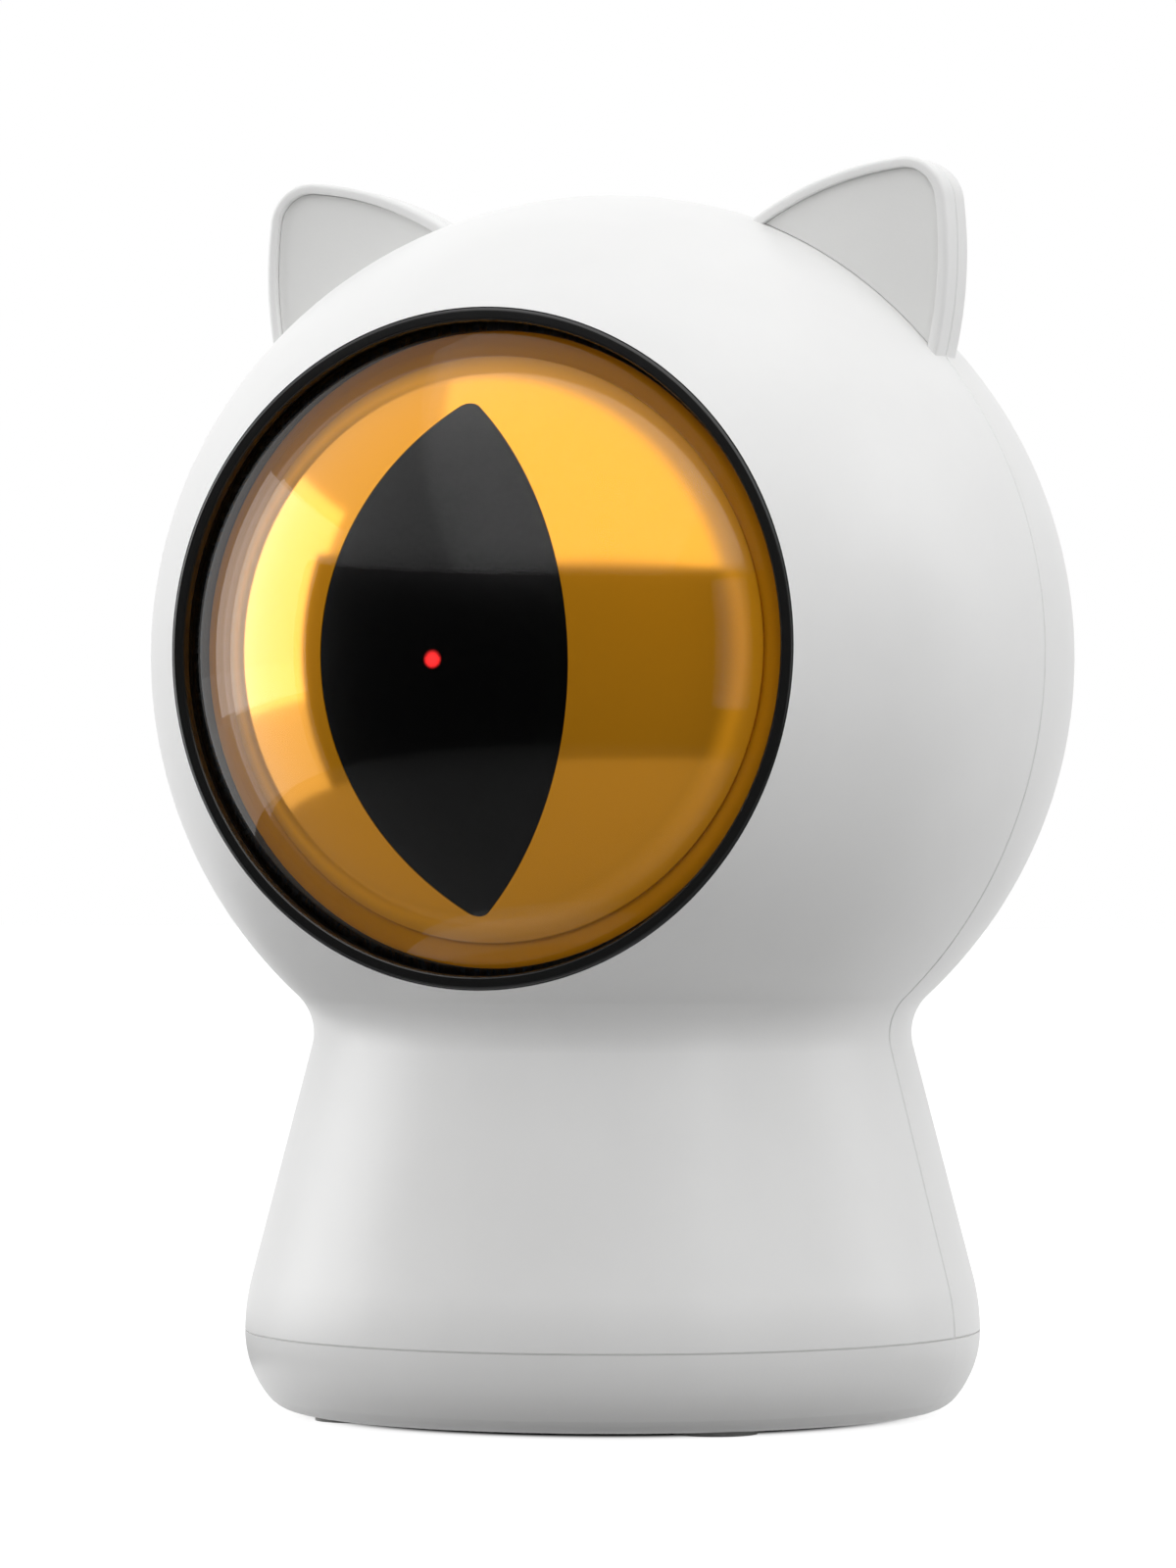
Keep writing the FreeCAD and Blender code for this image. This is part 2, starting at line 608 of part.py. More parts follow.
def base_tray():
    tray = tray_form(0, TRAY_Z, BASE_SEAM_Z)
    tray = tray.cut(tray_form(WALL, FLOOR_TOP, BASE_SEAM_Z))
    pillars = [rod_z(PILLAR_R, TRAY_Z + FOOT_T, BASE_SEAM_Z, x, y) for x, y in base_places()]
    posts = [rod_z(POST_R, FLOOR_TOP - OVER, TAB_Z, x, y) for x, y in holder_places()]
    tray = tray.multiFuse([tray_lip()] + pillars + posts)
    recess_top = TRAY_Z + FOOT_T - FOOT_PROUD
    head_top = recess_top + SCREW_HEAD_T + SCREW_SET_BACK
    for x, y in base_places():
        tray = tray.cut(rod_z(FOOT_R + FIT, TRAY_Z - OVER, recess_top, x, y))
        tray = tray.cut(rod_z(SCREW_HEAD_R + SCREW_PLAY, TRAY_Z - OVER, head_top, x, y))
        tray = tray.cut(rod_z(SCREW_R + SCREW_PLAY, TRAY_Z - OVER, BASE_SEAM_Z + OVER, x, y))
    for x, y in holder_places():
        tray = tray.cut(rod_z(SCREW_R + FIT, FLOOR_TOP + POST_FLOOR, TAB_Z + OVER, x, y))
    tray = tray.cut(box(-BAY_HALF, BAY_HALF, -BAY_HALF, BAY_HALF, TRAY_Z - OVER, FLOOR_TOP + OVER))
    pin_end = BAY_HALF + DOOR_PIN_GRIP + PIN_END_PLAY
    return tray.cut(rod_x(DOOR_PIN_R + FIT, -pin_end, pin_end, HINGE_Y, HINGE_Z))


def rubber_feet():
    return [rod_z(FOOT_R, 0, FOOT_T, x, y) for x, y in base_places()]


def screw(place, z_seat, length, up):
    """Screw along Z whose head rests at z_seat; up says which way the point goes."""
    x, y = place
    if up:
        head = rod_z(SCREW_HEAD_R, z_seat - SCREW_HEAD_T, z_seat, x, y)
        shank = rod_z(SCREW_R, z_seat, z_seat + length, x, y)
        return head.fuse(shank)
    head = rod_z(SCREW_HEAD_R, z_seat, z_seat + SCREW_HEAD_T, x, y)
    return head.fuse(rod_z(SCREW_R, z_seat - length, z_seat, x, y))


def base_screws():
    seat = TRAY_Z + FOOT_T - FOOT_PROUD + SCREW_HEAD_T + SCREW_SET_BACK
    length = BASE_SEAM_Z - seat + SCREW_GRIP
    return [screw(place, seat, length, True) for place in base_places()]


def holder_screws():
    seat = TAB_Z + TAB_T
    length = TAB_T + TAB_Z - FLOOR_TOP - POST_SCREW_END
    return [screw(place, seat, length, False) for place in holder_places()]


def frame_screws():
    return [screw(place, PLATE_TOP, PLATE_T + SCREW_GRIP, False) for place in frame_places()]


def battery_door():
    """Door on the underside, with a rounded hinge edge and a finger notch."""
    plate = box(-DOOR_HALF, DOOR_HALF, -DOOR_HALF, HINGE_Y, TRAY_Z, DOOR_TOP)
    plate = plate.fuse(rod_x(DOOR_T / 2, -DOOR_HALF, DOOR_HALF, HINGE_Y, HINGE_Z))
    plate = plate.cut(rod_x(DOOR_PIN_R + RUN, -BASE_R, BASE_R, HINGE_Y, HINGE_Z))
    notch = box(-NOTCH_HALF, NOTCH_HALF, -DOOR_HALF - OVER, -DOOR_HALF + NOTCH_L,
                TRAY_Z - OVER, TRAY_Z + NOTCH_DEEP)
    return plate.cut(notch)


def door_hinge_pin():
    end = BAY_HALF + DOOR_PIN_GRIP
    return rod_x(DOOR_PIN_R, -end, end, HINGE_Y, HINGE_Z)


def cell_places(nub_down):
    """The four bays; the cells in opposite corners lie the same way."""
    return [(sx * CELL_OFF, sy * CELL_OFF) for sx in (-1, 1) for sy in (-1, 1)
            if (sx == sy) == nub_down]


def battery_cells():
    cells = []
    for x, y in cell_places(True):
        can_z = CELL_LOW_NUB + CELL_NUB
        can = rod_z(CELL_R, can_z, can_z + CELL_CAN, x, y)
        cells.append(can.fuse(rod_z(CELL_NUB_R, CELL_LOW_NUB, can_z, x, y)))
    for x, y in cell_places(False):
        can_top = CELL_LOW_CAN + CELL_CAN
        can = rod_z(CELL_R, CELL_LOW_CAN, can_top, x, y)
        cells.append(can.fuse(rod_z(CELL_NUB_R, can_top, can_top + CELL_NUB, x, y)))
    return cells


def battery_holder():
    """Four tubes in a cluster, open below and closed above, with two screw tabs."""
    places = cell_places(True) + cell_places(False)
    low = FLOOR_TOP + DOOR_GAP
    bay_r = CELL_R + BAY_CLEAR
    outside = [rod_z(bay_r + HOLDER_WALL, low, HOLDER_TOP_Z, x, y) for x, y in places]
    core = box(-CELL_OFF, CELL_OFF, -CELL_OFF, CELL_OFF, low, HOLDER_TOP_Z)
    tabs = []
    for x, y in holder_places():
        tab = box(-TAB_HALF, TAB_HALF, -TAB_HALF, TAB_HALF, TAB_Z, TAB_Z + TAB_T)
        tab.translate(Vector(x, y, 0))
        bridge_in = min(abs(x), CELL_OFF + bay_r) - HOLDER_WALL
        bridge = box(bridge_in, abs(x), -TAB_HALF, TAB_HALF, TAB_Z, TAB_Z + TAB_T)
        tabs.append(tab)
        tabs.append(bridge if x > 0 else mirrored(bridge))
    holder = core.multiFuse(outside + tabs)
    for x, y in places:
        holder = holder.cut(rod_z(bay_r, low - OVER, TOP_CONTACT_Z + CONTACT_T, x, y))
    for x, y in holder_places():
        holder = holder.cut(rod_z(SCREW_R + SCREW_PLAY, low, TAB_Z + TAB_T + OVER, x, y))
    return holder


def spring_ring(x, y, z):
    """Space that one contact spring takes, as a short tube."""
    tube = rod_z(SPRING_R, z, z + SPRING_H, x, y)
    return tube.cut(rod_z(SPRING_R - SPRING_WIRE, z - OVER, z + SPRING_H + OVER, x, y))


def door_contacts():
    """Two plates that each join two cells across the door."""
    half_y = CELL_NUB_R + CONTACT_EDGE
    half_x = CELL_OFF + half_y
    return [box(-half_x, half_x, s * CELL_OFF - half_y, s * CELL_OFF + half_y,
                DOOR_TOP, DOOR_CONTACT_TOP) for s in (-1, 1)]


def door_springs():
    return [spring_ring(x, y, DOOR_CONTACT_TOP) for x, y in cell_places(False)]


def top_contacts():
    half = CELL_NUB_R + CONTACT_EDGE
    return [box(x - half, x + half, y - half, y + half, TOP_CONTACT_Z, TOP_CONTACT_Z + CONTACT_T)
            for x, y in cell_places(True) + cell_places(False)]


def top_springs():
    return [spring_ring(x, y, TOP_CONTACT_Z - SPRING_H) for x, y in cell_places(True)]


def eye_tab(y0, y1, half_w, r_in, r_out):
    """Blocks spaced round the eye's axis, the first one at the top."""
    blocks = []
    for i in range(EYE_TABS):
        block = box(-half_w, half_w, y0, y1, HEAD_Z + r_in, HEAD_Z + r_out)
        block.rotate(HEAD, Y_AXIS, 360.0 * i / EYE_TABS)
        blocks.append(block)
    return blocks


def eye_bezel():
    """Black ring whose tube snaps into the shell's collar."""
    lip_y = BEZEL_FACE_Y + BEZEL_LIP
    back_y = BEZEL_FACE_Y + BEZEL_DEEP
    lip = eye_ring(BEZEL_R - BEZEL_RING, BEZEL_R, BEZEL_FACE_Y, lip_y)
    tube = eye_ring(BEZEL_R - BEZEL_WALL, BEZEL_R, lip_y, back_y)
    hooks = eye_ring(BEZEL_R - BEZEL_WALL, BEZEL_R + HOOK_OUT, back_y - HOOK_T, back_y)
    blocks = Part.makeCompound(eye_tab(back_y - HOOK_T, back_y, HOOK_HALF_W, 0, HEAD_R))
    return lip.multiFuse([tube, hooks.common(blocks)]).removeSplitter()


def eye_dome():
    """Clear dome with a flat flange behind the bezel's lip."""
    edge_y = SEAL_Y
    cap = ball(DOME_R, DOME_CENTRE_Y).common(rod_y(STACK_R, -FAR, edge_y, 0, HEAD_Z))
    cap = cap.cut(ball(DOME_R - DOME_WALL, DOME_CENTRE_Y))
    return cap.fuse(eye_ring(STACK_R - DOME_WALL, STACK_R, DOME_FLANGE_Y, edge_y))


def dome_seal():
    return eye_ring(STACK_R - SEAL_W, STACK_R, SEAL_Y, IRIS_FLANGE_Y)


def slit(grow, y0, y1):
    """Prism of the cat pupil: two long arcs that meet in small round ends."""
    end_r = PUPIL_END_R + grow
    reach = PUPIL_HALF_L - PUPIL_END_R
    long_r = (reach ** 2 + PUPIL_HALF_W ** 2 - PUPIL_END_R ** 2) / (2 * (PUPIL_HALF_W - PUPIL_END_R))
    centre_x = long_r - PUPIL_HALF_W
    long_r += grow
    turn = math.degrees(math.atan2(reach, centre_x))
    edges = []
    for side in (-1, 1):
        base = 0 if side > 0 else 180
        low = polar(-side * centre_x, 0, long_r, base - turn)
        high = polar(-side * centre_x, 0, long_r, base + turn)
        edges.append(arc(low, polar(-side * centre_x, 0, long_r, base), high))
        tip = polar(0, side * reach, end_r, 90 * side)
        right = polar(0, side * reach, end_r, side * turn)
        left = polar(0, side * reach, end_r, side * (180 - turn))
        edges.append(arc(right, tip, left))
    wire = Part.Wire(Part.__sortEdges__(edges))
    wire.translate(Vector(0, y0, PUPIL_Z))
    return Part.Face(wire).extrude(Vector(0, y1 - y0, 0))


def iris_reflector():
    """Gold dome with the slit cut through it, on a flange that lies a step behind its edge."""
    back_y = RETAINER_Y
    cap = ball(IRIS_R, IRIS_CENTRE_Y).common(rod_y(IRIS_EDGE_R, -FAR, back_y, 0, HEAD_Z))
    flange = eye_ring(IRIS_EDGE_R - OVER, STACK_R, IRIS_FLANGE_Y, back_y)
    iris = cap.fuse(flange).cut(ball(IRIS_R - IRIS_WALL, IRIS_CENTRE_Y))
    return iris.cut(slit(0, -FAR, -IRIS_EDGE_R / 2))


def pupil_window():
    """Dark window that fills the slit, with a ledge behind the iris."""
    inner = IRIS_R - IRIS_WALL - FIT
    front = ball(IRIS_R - FIT, IRIS_CENTRE_Y).common(slit(-FIT, -FAR, -IRIS_EDGE_R / 2))
    back = ball(inner, IRIS_CENTRE_Y).common(slit(WINDOW_LEDGE, -FAR, -IRIS_EDGE_R / 2))
    return front.fuse(back).cut(ball(inner - WINDOW_BACK_T, IRIS_CENTRE_Y))


def lens_retainer():
    return eye_ring(STACK_R - RETAINER_W, STACK_R, RETAINER_Y, RETAINER_Y + RETAINER_T)


def gear(teeth, thickness, phase):
    """Spur gear round +Z at the origin, with a tooth at the angle phase."""
    pitch_r = MODULE * teeth / 2
    root_r = pitch_r - TOOTH_ROOT * MODULE
    tip_r = pitch_r + TOOTH_RISE * MODULE
    step = 360.0 / teeth
    root_half = step * (TOOTH_SHARE + TOOTH_TAPER) / 2
    tip_half = step * (TOOTH_SHARE - TOOTH_TAPER) / 2
    points = []
    for i in range(teeth):
        middle = phase + i * step
        for radius, turn in ((root_r, -root_half), (tip_r, -tip_half),
                             (tip_r, tip_half), (root_r, root_half)):
            a = math.radians(middle + turn)
            points.append(Vector(radius * math.cos(a), radius * math.sin(a), 0))
    points.append(points[0])
    return Part.Face(Part.makePolygon(points)).extrude(Vector(0, 0, thickness))


def turned_to_x(shape, x, y, z):
    """Stand a piece that was built round +Z on an axis along +X."""
    shape.rotate(Vector(0, 0, 0), Y_AXIS, 90)
    shape.translate(Vector(x, y, z))
    return shape


def mech_frame():
    """Plate across the head, with a bushing hole and the pan motor's shelf and cup."""
    plate = rod_z(PLATE_R, PLATE_Z, PLATE_TOP).common(box(-FAR, FAR, PLATE_FRONT_Y, FAR, 0, FAR))
    y = IRIS_CENTRE_Y
    cup_r = MOTOR_R + FIT + CUP_WALL
    half = cup_r - SHELF_TRIM
    far_x = PAN_MOTOR_X + cup_r + SHELF_PAST
    shelf = box(PAN_MOTOR_X - half, far_x, y - half, y + half, SHELF_Z, PAN_MOTOR_Z)
    post = box(far_x - POST_T, far_x, y - half, y + half, PLATE_TOP, SHELF_Z)
    cup = rod_z(cup_r, SHELF_Z, PAN_MOTOR_Z + CUP_UP, PAN_MOTOR_X, y)
    cup = cup.cut(rod_z(MOTOR_R + FIT, PAN_MOTOR_Z, FAR, PAN_MOTOR_X, y))
    frame = plate.multiFuse([shelf, post, cup])
    frame = frame.cut(rod_z(PAN_BUSH_R + FIT, 0, SHELF_Z, 0, y))
    frame = frame.cut(rod_z(PINION_HOLE_R, SHELF_Z - OVER, PAN_MOTOR_Z + OVER, PAN_MOTOR_X, y))
    for x, y in frame_places():
        frame = frame.cut(rod_z(SCREW_R + SCREW_PLAY, PLATE_Z - OVER, PLATE_TOP + OVER, x, y))
    return frame


def pan_bushing():
    y = IRIS_CENTRE_Y
    bush = rod_z(PAN_BUSH_R, PLATE_Z, PLATE_TOP, 0, y)
    bush = bush.fuse(rod_z(PAN_BUSH_FLANGE_R, PLATE_TOP, PLATE_TOP + PAN_BUSH_FLANGE_T, 0, y))
    return bush.cut(rod_z(PAN_SHAFT_R + RUN, 0, FAR, 0, y))


def arms():
    """The yoke's two uprights, with round tops and holes for the bushings."""
    shapes = []
    y = IRIS_CENTRE_Y
    for side in (-1, 1):
        x0 = ARM_IN if side > 0 else -ARM_IN - ARM_T
        upright = box(x0, x0 + ARM_T, y - ARM_HALF_W, y + ARM_HALF_W, YOKE_Z, HEAD_Z)
        top = rod_x(ARM_HALF_W, x0, x0 + ARM_T, y, HEAD_Z)
        shapes.append(upright.fuse(top))
    return shapes


def pan_yoke():
    """Yoke that turns left and right, with its shaft below and the tilt motor's cradle behind."""
    y = IRIS_CENTRE_Y
    half_x = ARM_IN + ARM_T
    cradle_front = TILT_MOTOR_Y - TILT_MOTOR_R - FIT - CRADLE_WALL + CRADLE_TRIM
    cradle_back = TILT_MOTOR_Y + TILT_MOTOR_R + FIT + CRADLE_WALL - CRADLE_TRIM
    base = box(-half_x, half_x, y - ARM_HALF_W, y + ARM_HALF_W, YOKE_Z, YOKE_TOP)
    low_x = TILT_MOTOR_END - TILT_MOTOR_L + CRADLE_SHORT
    high_x = TILT_MOTOR_END - CRADLE_SHORT
    tail = box(low_x, high_x, y, cradle_back, YOKE_Z, YOKE_TOP)
    cradle = box(low_x, high_x, cradle_front, cradle_back, YOKE_TOP, YOKE_TOP + CRADLE_UP)
    shaft = rod_z(PAN_SHAFT_R, PLATE_Z - PAN_GAP, YOKE_Z, 0, y)
    yoke = base.multiFuse([tail, cradle, shaft] + arms())
    motor_room = rod_x(TILT_MOTOR_R + FIT, -FAR, TILT_MOTOR_END + OVER, TILT_MOTOR_Y, HEAD_Z)
    yoke = yoke.cut(motor_room)
    yoke = yoke.cut(rod_x(BUSH_R + FIT, -FAR, FAR, y, HEAD_Z))
    return yoke.cut(rod_z(SCREW_R, PLATE_Z - OVER, PLATE_Z - PAN_GAP + PAN_SCREW_HOLE, 0, y))


def pan_gear():
    wheel = gear(PAN_TEETH, GEAR_T, 0)
    wheel.translate(Vector(0, IRIS_CENTRE_Y, GEAR_Z))
    return wheel.cut(rod_z(PAN_SHAFT_R + FIT, 0, FAR, 0, IRIS_CENTRE_Y))


def pan_screw():
    """Screw and washer that keep the pan shaft in its bushing."""
    y = IRIS_CENTRE_Y
    head_top = PLATE_Z - PAN_GAP
    head = rod_z(PAN_WASHER_R, head_top - PAN_WASHER_T, head_top, 0, y)
    return head.fuse(rod_z(SCREW_R - FIT, head_top, head_top + PAN_SCREW_L, 0, y))


def motor(radius, length, shaft_r, shaft_in):
    """Small motor can on the origin, standing up, with a hole for its shaft below."""
    can = Part.makeCylinder(radius, length)
    can = can.makeFillet(MOTOR_EDGE_R, [e for e in can.Edges if len(e.Vertexes) == 1])
    tail = Part.makeCylinder(radius * MOTOR_TAIL_SHARE, MOTOR_TAIL_L, Vector(0, 0, length))
    return can.fuse(tail).cut(rod_z(shaft_r + RUN, -OVER, shaft_in + SHAFT_END_GAP))


def pan_motor():
    shape = motor(MOTOR_R, MOTOR_L, SHAFT_R, SHAFT_IN)
    shape.translate(Vector(PAN_MOTOR_X, IRIS_CENTRE_Y, PAN_MOTOR_Z))
    return shape


def pan_pinion():
    """Pinion on the motor's shaft, with a gap where the pan gear has a tooth."""
    wheel = gear(PAN_PINION_TEETH, GEAR_T, 180.0 + 180.0 / PAN_PINION_TEETH)
    wheel.translate(Vector(PAN_MOTOR_X, IRIS_CENTRE_Y, GEAR_Z))
    shaft = rod_z(SHAFT_R, GEAR_Z, PAN_MOTOR_Z + SHAFT_IN, PAN_MOTOR_X, IRIS_CENTRE_Y)
    return wheel.fuse(shaft)


def tilt_bushings():
    shapes = []
    for side in (-1, 1):
        bush = rod_x(BUSH_R, ARM_IN, ARM_IN + ARM_T, IRIS_CENTRE_Y, HEAD_Z)
        bush = bush.fuse(rod_x(BUSH_FLANGE_R, ARM_IN - BUSH_FLANGE_T, ARM_IN, IRIS_CENTRE_Y, HEAD_Z))
        bush = bush.cut(rod_x(AXLE_R + RUN, 0, FAR, IRIS_CENTRE_Y, HEAD_Z))
        shapes.append(bush if side > 0 else mirrored(bush))
    return shapes


def tilt_axle():
    return rod_x(AXLE_R, -AXLE_HALF, AXLE_HALF, IRIS_CENTRE_Y, HEAD_Z)


def tilt_gear():
    """Gear on the axle, with a hub that reaches the bushing."""
    wheel = turned_to_x(gear(TILT_TEETH, GEAR_T, 90.0), TILT_GEAR_X, IRIS_CENTRE_Y, HEAD_Z)
    hub_end = ARM_IN - BUSH_FLANGE_T - SIDE_PLAY
    wheel = wheel.fuse(rod_x(BUSH_R, TILT_GEAR_X, hub_end, IRIS_CENTRE_Y, HEAD_Z))
    return wheel.cut(rod_x(AXLE_R + FIT, 0, FAR, IRIS_CENTRE_Y, HEAD_Z))


def tilt_motor():
    shape = motor(TILT_MOTOR_R, TILT_MOTOR_L, TILT_SHAFT_R, TILT_SHAFT_IN)
    shape.rotate(Vector(0, 0, 0), Y_AXIS, -90)
    shape.translate(Vector(TILT_MOTOR_END, TILT_MOTOR_Y, HEAD_Z))
    return shape


def tilt_pinion():
    """Pinion on the tilt motor's shaft, with a gap where the tilt gear has a tooth."""
    wheel = gear(TILT_PINION_TEETH, GEAR_T, 270.0 + 180.0 / TILT_PINION_TEETH)
    wheel = turned_to_x(wheel, TILT_GEAR_X, TILT_MOTOR_Y, HEAD_Z)
    shaft = rod_x(TILT_SHAFT_R, TILT_MOTOR_END - TILT_SHAFT_IN, TILT_GEAR_X, TILT_MOTOR_Y, HEAD_Z)
    return wheel.fuse(shaft)


def aimed(shape):
    """Tip a piece of the laser down to where it points at rest."""
    shape.rotate(AXES, X_AXIS, AIM)
    return shape


def laser_carrier():
    """Block on the tilt axle with the sleeve that grips the laser's barrel."""
    y = IRIS_CENTRE_Y
    block = box(-CARRIER_HALF, CARRIER_HALF, y - BLOCK_FRONT, y + CARRIER_BACK,
                HEAD_Z - CARRIER_UP, HEAD_Z + CARRIER_UP)
    sleeve = rod_y(LASER_R + FIT + SLEEVE_WALL, y - SLEEVE_FRONT, y - SLEEVE_BACK, 0, HEAD_Z)
    hub_end = ARM_IN - BUSH_FLANGE_T - SIDE_PLAY
    hub = rod_x(HUB_R, -hub_end, TILT_GEAR_X, y, HEAD_Z)
    carrier = block.multiFuse([sleeve, hub])
    barrel_back = y - LASER_REACH + LASER_L
    carrier = carrier.cut(rod_y(LASER_R + FIT, -FAR, barrel_back, 0, HEAD_Z))
    return aimed(carrier.cut(rod_x(AXLE_R + FIT, -FAR, FAR, y, HEAD_Z)))


def laser_barrel():
    mouth = IRIS_CENTRE_Y - LASER_REACH
    barrel = rod_y(LASER_R, mouth, mouth + LASER_L, 0, HEAD_Z)
    groove = rod_y(LASER_R + OVER, mouth + GROOVE_AT, mouth + GROOVE_AT + GROOVE_W, 0, HEAD_Z)
    groove = groove.cut(rod_y(LASER_R - GROOVE_DEEP, mouth, mouth + LASER_L, 0, HEAD_Z))
    return aimed(barrel.cut(groove).cut(rod_y(LENS_R + FIT, mouth - OVER, mouth + LENS_T, 0, HEAD_Z)))


def laser_lens():
    """Small lens in the barrel's mouth."""
    mouth = IRIS_CENTRE_Y - LASER_REACH
    disc = rod_y(LENS_R, mouth, mouth + LENS_T, 0, HEAD_Z)
    curve_r = (LENS_R ** 2 + LENS_PROUD ** 2) / (2 * LENS_PROUD)
    cap = ball(curve_r, mouth - LENS_PROUD + curve_r)
    cap = cap.common(rod_y(LENS_R, mouth - OVER, mouth, 0, HEAD_Z))
    return aimed(disc.fuse(cap))


def control_board():
    board = box(-BOARD_HALF, BOARD_HALF, BOARD_Y, BOARD_BACK, BOARD_LOW, BOARD_HIGH)
    for x, z in board_places():
        board = board.cut(rod_y(BOARD_SCREW_R + BOARD_SCREW_PLAY, BOARD_Y - OVER, BOARD_BACK + OVER, x, z))
    return board


def board_chips():
    """The controller and a connector on the inner face, and the light on the outer face."""
    middle = (BOARD_LOW + BOARD_HIGH) / 2
    plug_z = BOARD_LOW + PLUG_UP
    chip = box(-CHIP_HALF, CHIP_HALF, BOARD_Y - CHIP_T, BOARD_Y, middle - CHIP_HALF, middle + CHIP_HALF)
    plug = box(-PLUG_HALF, PLUG_HALF, BOARD_Y - PLUG_OUT, BOARD_Y, plug_z, plug_z + PLUG_H)
    light = box(-EMITTER_HALF_W, EMITTER_HALF_W, BOARD_BACK, BOARD_BACK + EMITTER_T,
                LIGHT_Z - EMITTER_HALF_H, LIGHT_Z + EMITTER_HALF_H)
    return [chip, plug, light]


def board_screws():
    screws = []
    for x, z in board_places():
        head = rod_y(BOARD_SCREW_HEAD_R, BOARD_Y - BOARD_SCREW_HEAD_T, BOARD_Y, x, z)
        shank = rod_y(BOARD_SCREW_R, BOARD_Y, BOARD_BACK + BOARD_SCREW_GRIP, x, z)
        screws.append(head.fuse(shank))
    return screws


def surface_y(z):
    """Depth of the pedestal's back at height z."""
    probe = line(Vector(0, 0, z), Vector(0, FAR, z))
    return probe.common(body(0)).BoundBox.YMax


def inlet_socket():
    """Metal power inlet, set back a little from the pedestal's wall."""
    mouth = surface_y(INLET_Z + INLET_H / 2) - INLET_SET_BACK
    can = inlet_block(0, BOARD_BACK, mouth)
    room = inlet_block(-INLET_WALL, BOARD_BACK + INLET_FLOOR, mouth + OVER)
    half_w = INLET_W / 2 - INLET_TONGUE_IN
    tongue = box(-half_w, half_w, BOARD_BACK, mouth - INLET_TONGUE_BACK,
                 INLET_Z - INLET_TONGUE_T / 2, INLET_Z + INLET_TONGUE_T / 2)
    return can.cut(room).fuse(tongue)


def status_light():
    """Clear rod that takes the light from the board to the wall."""
    return rod_y(LIGHT_R, BOARD_BACK + EMITTER_T + LIGHT_GAP, FAR, 0, LIGHT_Z).common(body(0))


def button_switch():
    return box(-SWITCH_HALF, SWITCH_HALF, BOARD_BACK, SWITCH_TOP,
               BUTTON_Z - SWITCH_HALF, BUTTON_Z + SWITCH_HALF)


def power_button():
    """Button whose face follows the wall, with a flange that keeps it in its hole."""
    cap = rod_y(BUTTON_R, BUTTON_BACK_Y, FAR, 0, BUTTON_Z).common(body(-BUTTON_PROUD))
    flange = rod_y(BUTTON_R + BUTTON_FLANGE, BUTTON_BACK_Y, BUTTON_BACK_Y + BUTTON_FLANGE_T, 0, BUTTON_Z)
    return cap.fuse(flange)


def main():
    os.makedirs("parts", exist_ok=True)
    save("front_shell", front_shell())
    save("rear_shell", rear_shell())
    insert = ear_insert()
    save("ear_insert_right", insert)
    save("ear_insert_left", mirrored(insert))
    save("base_tray", base_tray())
    save("rubber_feet", rubber_feet())
    save("base_screws", base_screws())
    save("battery_door", battery_door())
    save("door_hinge_pin", door_hinge_pin())
    save("door_contacts", door_contacts())
    save("door_springs", door_springs())
    save("battery_holder", battery_holder())
    save("holder_screws", holder_screws())
    save("battery_cells", battery_cells())
    save("top_contacts", top_contacts())
    save("top_springs", top_springs())
    save("eye_bezel", eye_bezel())
    save("eye_dome", eye_dome())
    save("dome_seal", dome_seal())
    save("iris_reflector", iris_reflector())
    save("pupil_window", pupil_window())
    save("lens_retainer", lens_retainer())
    save("mech_frame", mech_frame())
    save("frame_screws", frame_screws())
    save("pan_bushing", pan_bushing())
    save("pan_yoke", pan_yoke())
    save("pan_gear", pan_gear())
    save("pan_screw", pan_screw())
    save("pan_motor", pan_motor())
    save("pan_pinion", pan_pinion())
    save("tilt_bushings", tilt_bushings())
    save("tilt_axle", tilt_axle())
    save("tilt_gear", tilt_gear())
    save("tilt_motor", tilt_motor())
    save("tilt_pinion", tilt_pinion())
    save("laser_carrier", laser_carrier())
    save("laser_barrel", laser_barrel())
    save("laser_lens", laser_lens())
    save("control_board", control_board())
    save("board_chips", board_chips())
    save("board_screws", board_screws())
    save("inlet_socket", inlet_socket())
    save("status_light", status_light())
    save("button_switch", button_switch())
    save("power_button", power_button())


main()
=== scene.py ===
import bpy
import bmesh
import json
import math
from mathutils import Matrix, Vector

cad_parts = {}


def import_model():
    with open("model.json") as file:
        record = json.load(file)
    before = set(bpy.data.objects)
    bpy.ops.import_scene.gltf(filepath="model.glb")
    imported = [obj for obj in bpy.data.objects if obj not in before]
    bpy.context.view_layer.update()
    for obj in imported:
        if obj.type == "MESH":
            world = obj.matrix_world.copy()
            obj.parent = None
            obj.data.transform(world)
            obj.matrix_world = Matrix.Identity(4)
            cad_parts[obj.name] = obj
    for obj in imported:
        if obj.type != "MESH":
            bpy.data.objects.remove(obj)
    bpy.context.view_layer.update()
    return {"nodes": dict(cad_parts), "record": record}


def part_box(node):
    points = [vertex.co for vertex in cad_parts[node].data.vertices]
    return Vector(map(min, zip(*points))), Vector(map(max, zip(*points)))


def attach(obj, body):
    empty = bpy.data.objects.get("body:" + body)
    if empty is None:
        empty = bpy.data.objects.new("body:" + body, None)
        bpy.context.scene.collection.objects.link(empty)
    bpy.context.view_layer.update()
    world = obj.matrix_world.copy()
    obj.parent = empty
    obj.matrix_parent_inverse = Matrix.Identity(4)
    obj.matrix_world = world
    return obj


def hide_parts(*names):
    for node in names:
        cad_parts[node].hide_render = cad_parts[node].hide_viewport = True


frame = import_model()

# Automatic cat laser toy. Lengths below are millimetres until a mesh is made, and MM turns them to metres.
MM = 0.001


